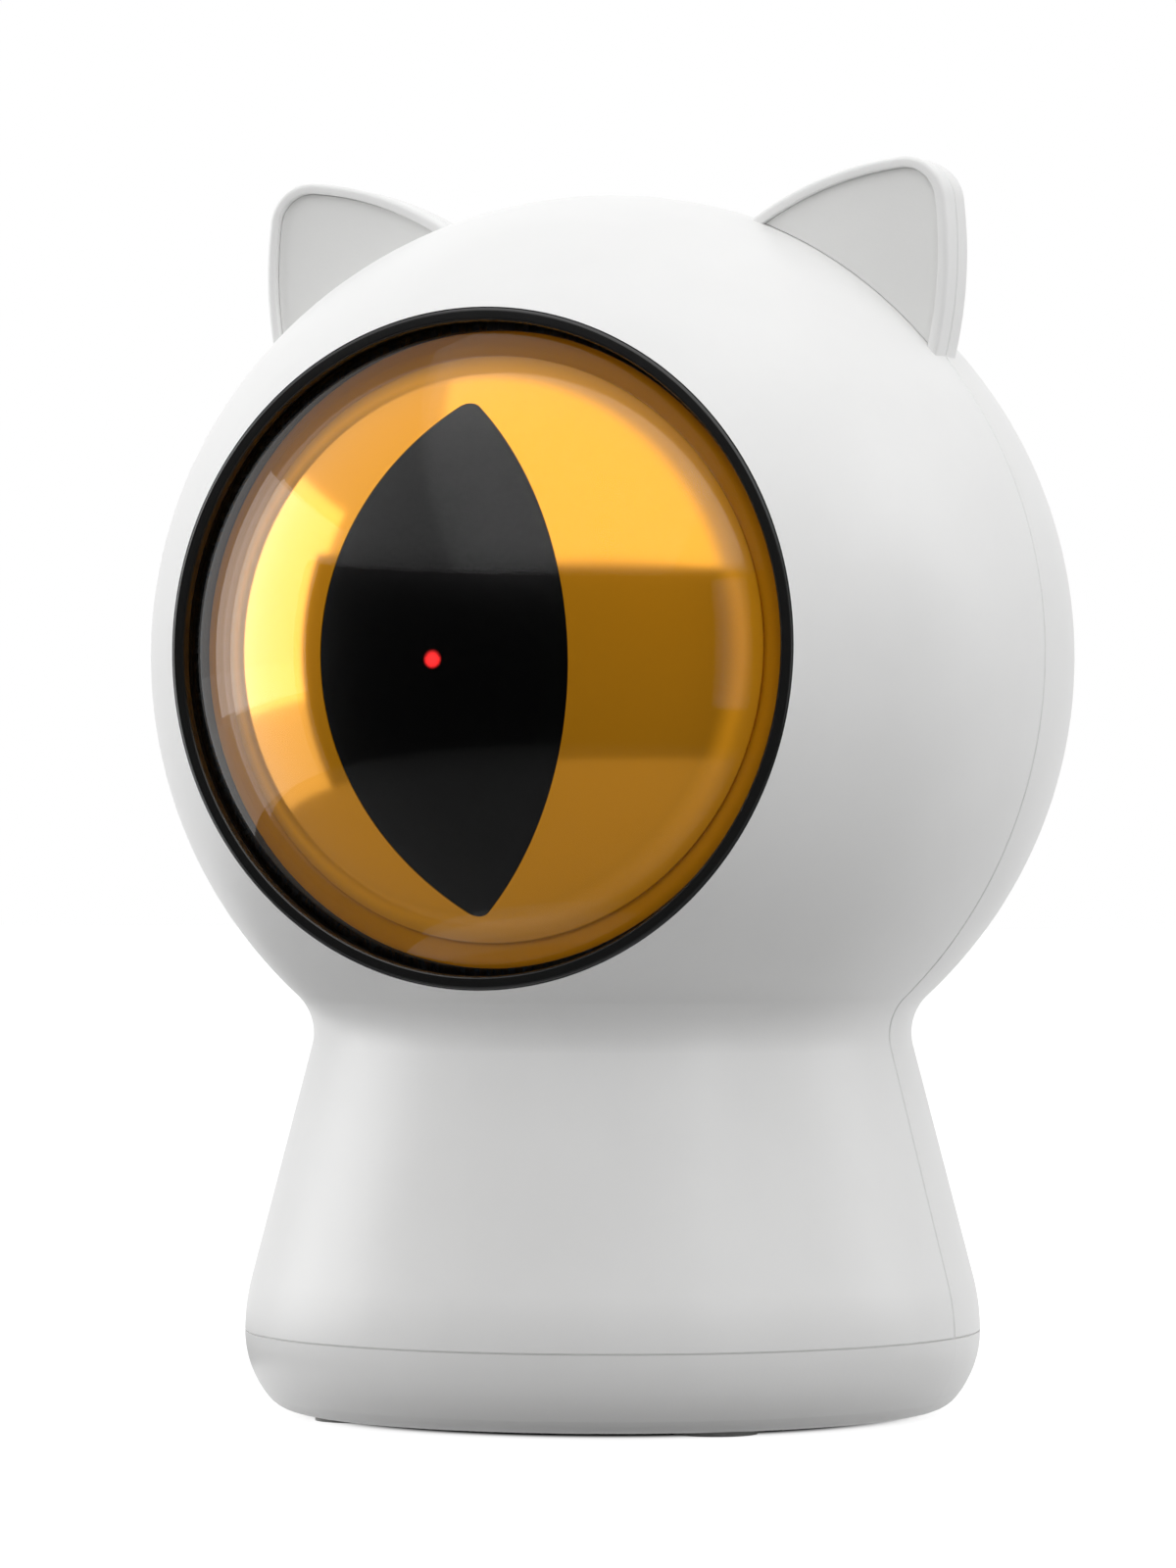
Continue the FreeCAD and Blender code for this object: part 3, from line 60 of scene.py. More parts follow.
def box_mm(node):
    """Lowest and highest corner of a node of the frame, in millimetres."""
    low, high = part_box(node)
    return Vector(low) / MM, Vector(high) / MM


# Casing, from the frame where its boxes say it and otherwise as in the part's source
HEAD_R = box_mm("rear_shell")[1].x
HEAD_Z = (box_mm("eye_dome")[0].z + box_mm("eye_dome")[1].z) / 2
BASE_SEAM_Z = box_mm("rear_shell")[0].z
BASE_R = box_mm("base_tray")[1].x
NECK_R = 29.15
NECK_FILLET = 5.0
FLARE_R = 21.0
WALL = 2.0
SEAM_Y = box_mm("front_shell")[1].y
SEAM_EDGE = 0.2           # chamfer of each edge that meets in a seam
GROOVE_DEEP = 1.4         # depth of a seam's groove as a share of its half width
GROOVE_PAST = 0.3         # degrees that two grooves overlap where they meet
PAST = 1.0                # how far a cutter reaches past what it cuts
HEAD = Vector((0, 0, HEAD_Z))
NECK_CENTRE_R = NECK_R + NECK_FILLET
NECK_Z = HEAD_Z - math.sqrt((HEAD_R + NECK_FILLET) ** 2 - NECK_CENTRE_R ** 2)
FLARE_X = BASE_R - FLARE_R

# Ear outline: an angle from upright and a rise above the ball of the head
EAR_INNER_FOOT = (18.5, -2.6)
EAR_INNER_MID = (27.0, 6.3)
EAR_TIP_IN = (33.4, 11.8)
EAR_TIP_MID = (36.8, 12.7)
EAR_TIP_OUT = (39.7, 11.2)
EAR_OUTER_MID = (43.2, 7.85)
EAR_OUTER_FOOT = (52.6, -1.8)
EAR_FRONT_Y = -3.2
EAR_REAR_Y = 3.3
EAR_RIM = 1.05
EAR_RECESS = 1.2
EAR_EDGE_R = 0.45
EAR_LIP_R = 0.15
EAR_BACK_R = 1.5
EAR_INNER_STEPS = 40      # parts of the outline's three arcs
EAR_TIP_STEPS = 18
EAR_OUTER_STEPS = 44

# Eye
BEZEL_R = 31.85
BEZEL_FACE_Y = -31.9
BEZEL_RING = 1.3
BEZEL_LIP = 1.0
BEZEL_WALL = 0.8
BEZEL_EDGE_R = 0.35
FIT = 0.05
BEZEL_BACK_Y = box_mm("eye_bezel")[1].y
STACK_R = BEZEL_R - BEZEL_WALL - FIT
DOME_R = 40.0
DOME_CENTRE_Y = DOME_R - HEAD_R
DOME_WALL = 1.5
DOME_FLANGE_Y = BEZEL_FACE_Y + BEZEL_LIP + FIT
DOME_BACK_Y = box_mm("eye_dome")[1].y
IRIS_R = 35.4
IRIS_WALL = 1.2
IRIS_EDGE_R = 27.5
IRIS_CENTRE_Y = -6.0
IRIS_FLANGE_T = 1.0
IRIS_BACK_Y = box_mm("iris_reflector")[1].y
PUPIL_HALF_W = 12.6
PUPIL_HALF_L = 23.9
PUPIL_END_R = 1.8
PUPIL_Z = HEAD_Z - 1.1
PUPIL_THICKER = 1.0       # the window reaches this much deeper than the iris
PUPIL_CAP_PAST = 3.0      # its ball is turned this far past the slit's ends, and then cut
SLIT_FRONT_Y = -HEAD_R - 5.0
SLIT_BACK_Y = -IRIS_EDGE_R / 2
AIM = 2.0                 # degrees that the laser points down at rest
SPOT_R = 0.98
SPOT_CORE = 0.3           # the glow is even up to here and then fades
SPOT_T = 0.06
SPOT_GLOW = 0.8
SPOT_BALL_R = IRIS_R + 0.02
SPOT_DROP = math.radians(AIM)
SPOT = Vector((0, IRIS_CENTRE_Y - SPOT_BALL_R * math.cos(SPOT_DROP),
               HEAD_Z - SPOT_BALL_R * math.sin(SPOT_DROP)))

# Back of the pedestal
BUTTON_Z = 24.0
BUTTON_R = 3.02
BUTTON_GAP = 0.14
LIGHT_Z = 19.3
LIGHT_R = 1.0
INLET_Z = 14.5
INLET_W = 8.9
INLET_H = 3.2
INLET_WALL = 0.3

# Camera of the photograph
CAMERA_TURN = 23.82       # degrees from the eye's axis towards +X
CAMERA_TILT = -0.64       # degrees that it looks down
CAMERA_FAR = 643.5
CAMERA_UP = 54.0
CAMERA_ASIDE = -2.4
CAMERA_LENS = 151.33
CAMERA_SENSOR = 36.0
CAMERA_CLIP = 10.0

# Fineness of the meshes
TURNS = 256
ARC_STEP = 1.2            # degrees between the points of an arc
SHARP = 28.0              # degrees between faces from which an edge is sharp
NEAR = 0.012              # a point this near to a surface lies on it
SAME_WAY = 0.8            # least cosine between a face and the exact normal that it takes
MITRE_LEAST = 0.4         # keeps the corners of a moved outline short
TINY = 1e-6


def arc_points(cx, cz, radius, start, end):
    """Points of an arc in a plane, angles from the first axis in degrees, both ends included."""
    count = max(2, int(abs(end - start) / ARC_STEP) + 1)
    points = []
    for i in range(count + 1):
        a = math.radians(start + (end - start) * i / count)
        points.append((cx + radius * math.cos(a), cz + radius * math.sin(a)))
    return points


def arc_through(a, b, c, count):
    """Points of the arc from a over b to c."""
    ax, ay = b[0] - a[0], b[1] - a[1]
    bx, by = c[0] - a[0], c[1] - a[1]
    d = 2 * (ax * by - ay * bx)
    ux = (by * (ax * ax + ay * ay) - ay * (bx * bx + by * by)) / d
    uy = (ax * (bx * bx + by * by) - bx * (ax * ax + ay * ay)) / d
    cx, cy = a[0] + ux, a[1] + uy
    radius = math.hypot(ux, uy)
    start = math.atan2(a[1] - cy, a[0] - cx)
    turn = math.atan2(c[1] - cy, c[0] - cx) - start
    middle = math.atan2(b[1] - cy, b[0] - cx) - start
    turn %= math.tau
    if middle % math.tau > turn:
        turn -= math.tau
    points = []
    for i in range(count + 1):
        angle = start + turn * i / count
        points.append((cx + radius * math.cos(angle), cy + radius * math.sin(angle)))
    return points


def offset_loop(points, inset):
    """A closed outline moved inwards, with mitred corners."""
    area = 0.0
    for i, p in enumerate(points):
        q = points[(i + 1) % len(points)]
        area += p[0] * q[1] - q[0] * p[1]
    side = 1.0 if area > 0 else -1.0
    moved = []
    for i, p in enumerate(points):
        before = points[i - 1]
        after = points[(i + 1) % len(points)]
        d1 = Vector((p[0] - before[0], p[1] - before[1])).normalized()
        d2 = Vector((after[0] - p[0], after[1] - p[1])).normalized()
        n1 = Vector((-d1.y, d1.x)) * side
        n2 = Vector((-d2.y, d2.x)) * side
        n = (n1 + n2).normalized()
        reach = inset / max(MITRE_LEAST, n.dot(n1))
        moved.append((p[0] + n.x * reach, p[1] + n.y * reach))
    return moved


def mesh_object(name, verts, faces):
    """A mesh from millimetre points, with its faces turned outwards."""
    mesh = bpy.data.meshes.new(name)
    mesh.from_pydata([Vector(v) * MM for v in verts], [], faces)
    bm = bmesh.new()
    bm.from_mesh(mesh)
    bmesh.ops.recalc_face_normals(bm, faces=bm.faces)
    bm.to_mesh(mesh)
    bm.free()
    obj = bpy.data.objects.new(name, mesh)
    bpy.context.scene.collection.objects.link(obj)
    return obj


def on_z(radius, height, angle):
    """Point of a form turned round +Z."""
    return (radius * math.cos(angle), radius * math.sin(angle), height)


def on_eye(radius, depth, angle):
    """Point of a form turned round the eye's axis."""
    return (radius * math.sin(angle), depth, HEAD_Z + radius * math.cos(angle))


def lathe(name, profile, place, turns=TURNS):
    """Turn a profile: it closes on itself, unless both ends lie on the axis."""
    poles = profile[0][0] < TINY and profile[-1][0] < TINY
    ring_profile = profile[1:-1] if poles else profile
    verts = []
    for i in range(turns):
        angle = math.tau * i / turns
        for radius, along in ring_profile:
            verts.append(place(radius, along, angle))
    count = len(ring_profile)
    faces = []
    for i in range(turns):
        j = (i + 1) % turns
        last = count - 1 if poles else count
        for k in range(last):
            m = (k + 1) % count
            faces.append((i * count + k, i * count + m, j * count + m, j * count + k))
    if poles:
        verts.append(place(0, profile[0][1], 0))
        verts.append(place(0, profile[-1][1], 0))
        for i in range(turns):
            j = (i + 1) % turns
            faces.append((len(verts) - 2, i * count, j * count))
            faces.append((i * count + count - 1, len(verts) - 1, j * count + count - 1))
    return mesh_object(name, verts, faces)


def stack(name, loops):
    """Skin between closed loops of equal count, capped at both ends."""
    count = len(loops[0])
    verts = [p for loop in loops for p in loop]
    faces = [tuple(range(count)), tuple(range(len(verts) - count, len(verts)))]
    for i in range(len(loops) - 1):
        for k in range(count):
            m = (k + 1) % count
            faces.append((i * count + k, i * count + m, (i + 1) * count + m, (i + 1) * count + k))
    return mesh_object(name, verts, faces)


def block(name, x0, x1, y0, y1, z0, z1):
    """Cutting block."""
    return stack(name, [[(x0, y0, z), (x1, y0, z), (x1, y1, z), (x0, y1, z)] for z in (z0, z1)])


def combine(obj, others, operation):
    """Apply a boolean with each of the others, which are then gone."""
    for other in others:
        change = obj.modifiers.new("change", "BOOLEAN")
        change.operation = operation
        change.solver = "MANIFOLD"
        change.object = other
        bpy.context.view_layer.update()
        graph = bpy.context.evaluated_depsgraph_get()
        mesh = bpy.data.meshes.new_from_object(obj.evaluated_get(graph))
        obj.modifiers.clear()
        obj.data = mesh
        bpy.data.objects.remove(other)


def copy_of(obj, name):
    """A second object with a mesh of its own."""
    twin = obj.copy()
    twin.data = obj.data.copy()
    twin.name = name
    bpy.context.scene.collection.objects.link(twin)
    return twin


def smooth(obj, normal_at=None):
    """Smooth shading with sharp edges; normal_at gives the exact normal of a surface that is known."""
    mesh = obj.data
    mesh.name = obj.name
    mesh.shade_smooth()
    mesh.set_sharp_from_angle(angle=math.radians(SHARP))
    if normal_at is None:
        return obj
    normals = [Vector((0, 0, 0))] * len(mesh.loops)
    known = [normal_at(v.co / MM) for v in mesh.vertices]
    for face in mesh.polygons:
        if all(known[v] is not None and known[v].dot(face.normal) > SAME_WAY for v in face.vertices):
            for loop, vertex in zip(face.loop_indices, face.vertices):
                normals[loop] = known[vertex]
    mesh.normals_split_custom_set(normals)
    return obj


def finish_piece(obj, name, material, body, nodes=()):
    """Name, material and place in the frame of one piece."""
    obj.name = name
    obj.data.name = name
    obj.data.materials.clear()
    obj.data.materials.append(material)
    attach(obj, body)
    if nodes:
        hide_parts(*nodes)


# Materials
TONE_CELLS = 120.0        # cells of noise per metre, first for plastic and then for metal
GLOSS_CELLS = 300.0
GRAIN_CELLS = 4000.0
METAL_TONE_CELLS = 1500.0
METAL_GLOSS_CELLS = 900.0
METAL_GRAIN_CELLS = 3000.0
GOLD_GLOSS_CELLS = 60.0
GLOSS_SPREAD = 0.04


def new_material(name, colour, roughness, metallic=0.0, specular=0.5):
    """Plain material of one colour."""
    material = bpy.data.materials.new(name)
    material.use_nodes = True
    shader = material.node_tree.nodes["Principled BSDF"]
    shader.inputs["Base Color"].default_value = (*colour, 1.0)
    shader.inputs["Roughness"].default_value = roughness
    shader.inputs["Metallic"].default_value = metallic
    shader.inputs["Specular IOR Level"].default_value = specular
    return material


def object_noise(material, scale, detail, stretch=(1, 1, 1)):
    """Noise in the piece's own metres, with scale in cells per metre."""
    tree = material.node_tree
    place = tree.nodes.new("ShaderNodeTexCoord")
    fit = tree.nodes.new("ShaderNodeMapping")
    fit.inputs["Scale"].default_value = stretch
    noise = tree.nodes.new("ShaderNodeTexNoise")
    noise.inputs["Scale"].default_value = scale
    noise.inputs["Detail"].default_value = detail
    tree.links.new(place.outputs["Object"], fit.inputs["Vector"])
    tree.links.new(fit.outputs["Vector"], noise.inputs["Vector"])
    return noise.outputs["Fac"]


def add_grain(material, scale, depth, strength=0.4, stretch=(1, 1, 1)):
    """Fine bump; depth in millimetres."""
    tree = material.node_tree
    bump = tree.nodes.new("ShaderNodeBump")
    bump.inputs["Strength"].default_value = strength
    bump.inputs["Distance"].default_value = depth * MM
    tree.links.new(object_noise(material, scale, 3.0, stretch), bump.inputs["Height"])
    tree.links.new(bump.outputs["Normal"], tree.nodes["Principled BSDF"].inputs["Normal"])


def add_tone(material, scale, low, high, stretch=(1, 1, 1)):
    """Slight change of colour over the surface, between two colours."""
    tree = material.node_tree
    ramp = tree.nodes.new("ShaderNodeValToRGB")
    ramp.color_ramp.elements[0].position = 0.3
    ramp.color_ramp.elements[0].color = (*low, 1.0)
    ramp.color_ramp.elements[1].position = 0.7
    ramp.color_ramp.elements[1].color = (*high, 1.0)
    tree.links.new(object_noise(material, scale, 4.0, stretch), ramp.inputs["Fac"])
    tree.links.new(ramp.outputs["Color"], tree.nodes["Principled BSDF"].inputs["Base Color"])


def add_sheen_change(material, scale, low, high):
    """Slight change of roughness over the surface."""
    tree = material.node_tree
    span = tree.nodes.new("ShaderNodeMapRange")
    span.inputs["To Min"].default_value = low
    span.inputs["To Max"].default_value = high
    tree.links.new(object_noise(material, scale, 4.0), span.inputs["Value"])
    tree.links.new(span.outputs["Result"], tree.nodes["Principled BSDF"].inputs["Roughness"])


def scaled(colour, factor):
    """A colour made lighter or darker."""
    return tuple(min(1.0, c * factor) for c in colour)


def plastic(name, colour, roughness, grain=0.02, spread=0.03):
    """Moulded plastic: a fine even grain, and hardly any change of tone or gloss."""
    material = new_material(name, colour, roughness)
    add_tone(material, TONE_CELLS, scaled(colour, 1 - spread), scaled(colour, 1 + spread))
    add_sheen_change(material, GLOSS_CELLS, roughness - GLOSS_SPREAD, roughness + GLOSS_SPREAD)
    add_grain(material, GRAIN_CELLS, grain)
    return material


def metal(name, colour, roughness, stretch=(1, 1, 1)):
    """Turned or drawn metal with fine lines along one way."""
    material = new_material(name, colour, roughness, metallic=1.0)
    add_tone(material, METAL_TONE_CELLS, scaled(colour, 0.88), scaled(colour, 1.08), stretch)
    add_sheen_change(material, METAL_GLOSS_CELLS, roughness - 0.06, roughness + 0.08)
    add_grain(material, METAL_GRAIN_CELLS, depth=0.01, strength=0.3, stretch=stretch)
    return material


def in_mm(tree, length):
    """A length in metres, turned to millimetres."""
    enlarge = tree.nodes.new("ShaderNodeMath")
    enlarge.operation = "DIVIDE"
    enlarge.inputs[1].default_value = MM
    tree.links.new(length, enlarge.inputs[0])
    return enlarge.outputs["Value"]


def radial_distance(tree):
    """Distance from the eye's axis, in millimetres."""
    place = tree.nodes.new("ShaderNodeTexCoord")
    split = tree.nodes.new("ShaderNodeSeparateXYZ")
    join = tree.nodes.new("ShaderNodeCombineXYZ")
    lower = tree.nodes.new("ShaderNodeMath")
    lower.operation = "SUBTRACT"
    lower.inputs[1].default_value = HEAD_Z * MM
    length = tree.nodes.new("ShaderNodeVectorMath")
    length.operation = "LENGTH"
    tree.links.new(place.outputs["Object"], split.inputs["Vector"])
    tree.links.new(split.outputs["Z"], lower.inputs[0])
    tree.links.new(split.outputs["X"], join.inputs["X"])
    tree.links.new(lower.outputs["Value"], join.inputs["Z"])
    tree.links.new(join.outputs["Vector"], length.inputs[0])
    return in_mm(tree, length.outputs["Value"])


def step_between(tree, value, low, high):
    """Smooth step of a value from 0 at low to 1 at high."""
    span = tree.nodes.new("ShaderNodeMapRange")
    span.interpolation_type = "SMOOTHSTEP"
    span.inputs["From Min"].default_value = low
    span.inputs["From Max"].default_value = high
    tree.links.new(value, span.inputs["Value"])
    return span.outputs["Result"]


SHADE_START = 28.9        # the dome's black print begins this far from the eye's axis
SHADE_FULL = 31.2         # and is full here
DOME_IOR = 1.4
DOME_POLISH = 0.012       # roughness of the dome's faces
COATING = 0.022           # part of the gloss that the dome's coating takes away


def thin_glass(tree):
    """Clear sheet with the same gloss from both of its sides."""
    clear = tree.nodes.new("ShaderNodeBsdfTransparent")
    shine = tree.nodes.new("ShaderNodeBsdfGlossy")
    shine.inputs["Roughness"].default_value = DOME_POLISH
    side = tree.nodes.new("ShaderNodeNewGeometry")
    bend = tree.nodes.new("ShaderNodeMapRange")
    bend.inputs["To Min"].default_value = DOME_IOR
    bend.inputs["To Max"].default_value = 1 / DOME_IOR
    fresnel = tree.nodes.new("ShaderNodeFresnel")
    glass = tree.nodes.new("ShaderNodeMixShader")
    tree.links.new(side.outputs["Backfacing"], bend.inputs["Value"])
    tree.links.new(bend.outputs["Result"], fresnel.inputs["IOR"])
    coating = tree.nodes.new("ShaderNodeMapRange")
    coating.inputs["From Min"].default_value = COATING
    tree.links.new(fresnel.outputs["Fac"], coating.inputs["Value"])
    tree.links.new(coating.outputs["Result"], glass.inputs["Fac"])
    tree.links.new(clear.outputs["BSDF"], glass.inputs[1])
    tree.links.new(shine.outputs["BSDF"], glass.inputs[2])
    return glass.outputs["Shader"]


def dome_material():
    """Clear polished plastic."""
    material = new_material("clear_dome", (0.9, 0.9, 0.9), 0.03)
    tree = material.node_tree
    tree.links.new(thin_glass(tree), tree.nodes["Material Output"].inputs["Surface"])
    return material


def dome_print_material():
    """Inside of the dome: clear in the middle, with a black print that fades in at the edge."""
    material = new_material("dome_print", (0.004, 0.004, 0.004), 0.3)
    tree = material.node_tree
    both = tree.nodes.new("ShaderNodeMixShader")
    tree.links.new(step_between(tree, radial_distance(tree), SHADE_START, SHADE_FULL), both.inputs["Fac"])
    tree.links.new(thin_glass(tree), both.inputs[1])
    tree.links.new(tree.nodes["Principled BSDF"].outputs["BSDF"], both.inputs[2])
    tree.links.new(both.outputs["Shader"], tree.nodes["Material Output"].inputs["Surface"])
    return material


GOLD = (0.95, 0.40, 0.015)
# darker gold of the disc's edge wall and of the flange set back behind it: painted shade
GOLD_PAINTED_SHADE = (0.70, 0.28, 0.006)
GOLD_MIRROR = 0.52        # share of the gold that reflects like metal
MATT_START = 24.6         # the disc turns from mirror to matt between these distances from the axis
MATT_FULL = IRIS_EDGE_R - 1.3
EDGE_BLUR = 0.1           # half width of the change of colour to the painted shade at the disc's edge
MIRROR_R = 46.0           # the polish of the iris is that of a flatter ball


def gold_material():
    """Metallised amber: partly mirror, and matt towards the disc's edge and on its flange, which is
    coloured darker as painted shade.
    """
    material = new_material("gold_mirror", GOLD, 0.12)
    tree = material.node_tree
    mix = tree.nodes.new("ShaderNodeMix")
    mix.data_type = "RGBA"
    mix.inputs["A"].default_value = (*GOLD, 1.0)
    mix.inputs["B"].default_value = (*GOLD_PAINTED_SHADE, 1.0)
    # beyond the disc's edge the colour turns to the painted shade
    edge = step_between(tree, radial_distance(tree), IRIS_EDGE_R - EDGE_BLUR, IRIS_EDGE_R + EDGE_BLUR)
    tree.links.new(edge, mix.inputs["Factor"])
    tree.links.new(mix.outputs["Result"], tree.nodes["Principled BSDF"].inputs["Base Color"])
    mirror = tree.nodes.new("ShaderNodeMapRange")
    mirror.inputs["To Min"].default_value = GOLD_MIRROR
    mirror.inputs["To Max"].default_value = 0.0
    matt = step_between(tree, radial_distance(tree), MATT_START, MATT_FULL)
    tree.links.new(matt, mirror.inputs["Value"])
    tree.links.new(mirror.outputs["Result"], tree.nodes["Principled BSDF"].inputs["Metallic"])
    add_sheen_change(material, GOLD_GLOSS_CELLS, 0.08, 0.13)
    return material


def spot_material():
    """Red glow of the laser where it leaves the dark window, fading to nothing at its rim."""
    material = new_material("laser_glow", (0.9, 0.02, 0.02), 0.3)
    tree = material.node_tree
    shader = tree.nodes["Principled BSDF"]
    shader.inputs["Emission Color"].default_value = (1.0, 0.03, 0.03, 1.0)
    shader.inputs["Emission Strength"].default_value = SPOT_GLOW
    place = tree.nodes.new("ShaderNodeTexCoord")
    away = tree.nodes.new("ShaderNodeVectorMath")
    away.operation = "DISTANCE"
    away.inputs[1].default_value = SPOT * MM
    fade = tree.nodes.new("ShaderNodeMixShader")
    clear = tree.nodes.new("ShaderNodeBsdfTransparent")
    tree.links.new(place.outputs["Object"], away.inputs[0])
    apart = in_mm(tree, away.outputs["Value"])
    tree.links.new(step_between(tree, apart, SPOT_CORE, SPOT_R), fade.inputs["Fac"])
    tree.links.new(shader.outputs["BSDF"], fade.inputs[1])
    tree.links.new(clear.outputs["BSDF"], fade.inputs[2])
    tree.links.new(fade.outputs["Shader"], tree.nodes["Material Output"].inputs["Surface"])
    return material


WHITE = (0.86, 0.86, 0.855)
GREY = (0.8, 0.8, 0.79)
MATERIALS = {
    "shell_white": plastic("shell_white", WHITE, 0.37, grain=0.012, spread=0.01),
    "ear_grey": plastic("ear_grey", GREY, 0.5, spread=0.01),
    "bezel_black": plastic("bezel_black", (0.012, 0.012, 0.012), 0.22, grain=0.005),
    "clear_dome": dome_material(),
    "seal_rubber": plastic("seal_rubber", (0.02, 0.02, 0.021), 0.75, grain=0.06),
    "gold_mirror": gold_material(),
    "pupil_dark": new_material("pupil_dark", (0.002, 0.002, 0.002), 0.22, specular=0.24),
    "frame_grey": plastic("frame_grey", (0.05, 0.053, 0.06), 0.5),
    "gear_nylon": plastic("gear_nylon", (0.72, 0.70, 0.62), 0.45),
    "steel": metal("steel", (0.55, 0.55, 0.56), 0.32),
    "motor_steel": metal("motor_steel", (0.6, 0.6, 0.61), 0.3, (1, 1, 8)),
    "brass": metal("brass", (0.75, 0.52, 0.2), 0.28),
    "red_lens": plastic("red_lens", (0.6, 0.02, 0.02), 0.12, grain=0.002),
    "board_green": plastic("board_green", (0.012, 0.11, 0.04), 0.35, spread=0.15),
    "chip_black": plastic("chip_black", (0.015, 0.015, 0.016), 0.55),
    "cell_jacket": plastic("cell_jacket", (0.03, 0.04, 0.045), 0.3, grain=0.004),
    "contact_nickel": metal("contact_nickel", (0.66, 0.63, 0.56), 0.25),
    "light_clear": plastic("light_clear", (0.75, 0.78, 0.75), 0.2, grain=0.002),
    "button_grey": plastic("button_grey", (0.62, 0.62, 0.61), 0.38, grain=0.01),
}

for row in frame["record"]["subparts"]:
    node = frame["nodes"][row["node"]]
    for place in node.material_slots:
        place.material = MATERIALS[row["material_slot"]]
for place in frame["nodes"]["rubber_feet"].material_slots:
    place.material = plastic("foot_rubber", (0.6, 0.6, 0.59), 0.7, grain=0.05)


# Casing
def body_angles():
    """Angles at which the head, the neck and the pedestal's side run into each other."""
    apart = math.hypot(NECK_CENTRE_R - FLARE_X, NECK_Z - BASE_SEAM_Z)
    to_neck = math.degrees(math.atan2(NECK_Z - BASE_SEAM_Z, NECK_CENTRE_R - FLARE_X))
    side = to_neck - math.degrees(math.acos((FLARE_R + NECK_FILLET) / apart))
    under = math.degrees(math.atan2(NECK_Z - HEAD_Z, NECK_CENTRE_R))
    return side, under


SIDE, UNDER = body_angles()


def body_profile(inset, foot_z, chamfer=0.0):
    """Outline of head and pedestal from the top to foot_z, drawn in by inset."""
    points = arc_points(0, HEAD_Z, HEAD_R - inset, 90, UNDER)
    points[0] = (0, HEAD_Z + HEAD_R - inset)
    points += arc_points(NECK_CENTRE_R, NECK_Z, NECK_FILLET + inset, 180 + UNDER, 180 + SIDE)[1:]
    cone_end = points[-1]
    flare = arc_points(FLARE_X, BASE_SEAM_Z, FLARE_R - inset, SIDE, 0)
    steps = 12
    for i in range(1, steps):
        t = i / steps
        points.append((cone_end[0] + (flare[0][0] - cone_end[0]) * t,
                       cone_end[1] + (flare[0][1] - cone_end[1]) * t))
    points += flare
    if chamfer:
        while points[-1][1] < BASE_SEAM_Z + chamfer:
            points.pop()
        points.append((BASE_R - inset, BASE_SEAM_Z + chamfer))
        points.append((BASE_R - inset - chamfer, BASE_SEAM_Z))
    if foot_z < BASE_SEAM_Z:
        points.append((BASE_R - inset, foot_z))
    points.append((0, foot_z))
    return points


def body_normal(point):
    """Outward normal of the casing at a point that lies on it, or None."""
    radius = math.hypot(point.x, point.y)
    if radius < TINY:
        return Vector((0, 0, 1)) if point.z > HEAD_Z else None
    out = Vector((point.x / radius, point.y / radius, 0))
    up = Vector((0, 0, 1))
    head_low = HEAD_Z + HEAD_R * math.sin(math.radians(UNDER))
    cone_top = NECK_Z + NECK_FILLET * math.sin(math.radians(180 + SIDE))
    cone_low = BASE_SEAM_Z + FLARE_R * math.sin(math.radians(SIDE))
    if point.z > head_low - NEAR:
        away = point - HEAD
        if abs(away.length - HEAD_R) < NEAR:
            return away.normalized()
    if cone_top - NEAR < point.z <= head_low + NEAR:
        away = Vector((NECK_CENTRE_R - radius, NECK_Z - point.z))
        if abs(away.length - NECK_FILLET) < NEAR:
            return (out * away.x + up * away.y).normalized()
    if cone_low <= point.z <= cone_top:
        a = math.radians(SIDE)
        flat = (radius - FLARE_X) * math.cos(a) + (point.z - BASE_SEAM_Z) * math.sin(a)
        if abs(flat - FLARE_R) < NEAR:
            return (out * math.cos(a) + up * math.sin(a)).normalized()
    if point.z < cone_low:
        away = Vector((radius - FLARE_X, point.z - BASE_SEAM_Z))
        if abs(away.length - FLARE_R) < NEAR:
            return (out * away.x + up * away.y).normalized()
    return None


def ear_outline():
    """Closed outline of the right ear in the plane of the seam, as (x, z)."""
    places = []
    for angle, rise in (EAR_INNER_FOOT, EAR_INNER_MID, EAR_TIP_IN, EAR_TIP_MID,
                        EAR_TIP_OUT, EAR_OUTER_MID, EAR_OUTER_FOOT):
        a = math.radians(angle)
        r = HEAD_R + rise
        places.append((r * math.sin(a), HEAD_Z + r * math.cos(a)))
    foot_in, mid_in, tip_in, tip, tip_out, mid_out, foot_out = places
    points = arc_through(foot_in, mid_in, tip_in, EAR_INNER_STEPS)
    points += arc_through(tip_in, tip, tip_out, EAR_TIP_STEPS)[1:]
    points += arc_through(tip_out, mid_out, foot_out, EAR_OUTER_STEPS)[1:]
    return points


def ear_levels():
    """Insets and depths of the ear's section, from its back to the floor of its recess."""
    levels = []
    steps = 6
    lip_steps = 3
    for i in range(steps + 1):
        a = math.radians(90 * i / steps)
        levels.append((EAR_BACK_R * (1 - math.sin(a)), EAR_REAR_Y - EAR_BACK_R * (1 - math.cos(a))))
    for i in range(steps + 1):
        a = math.radians(90 * i / steps)
        levels.append((EAR_EDGE_R * (1 - math.cos(a)), EAR_FRONT_Y + EAR_EDGE_R * (1 - math.sin(a))))
    for i in range(lip_steps + 1):
        a = math.radians(90 * i / lip_steps)
        inset = EAR_RIM - EAR_LIP_R * (1 - math.sin(a))
        levels.append((inset, EAR_FRONT_Y + EAR_LIP_R * (1 - math.cos(a))))
    levels.append((EAR_RIM, EAR_FRONT_Y + EAR_RECESS))
    return levels


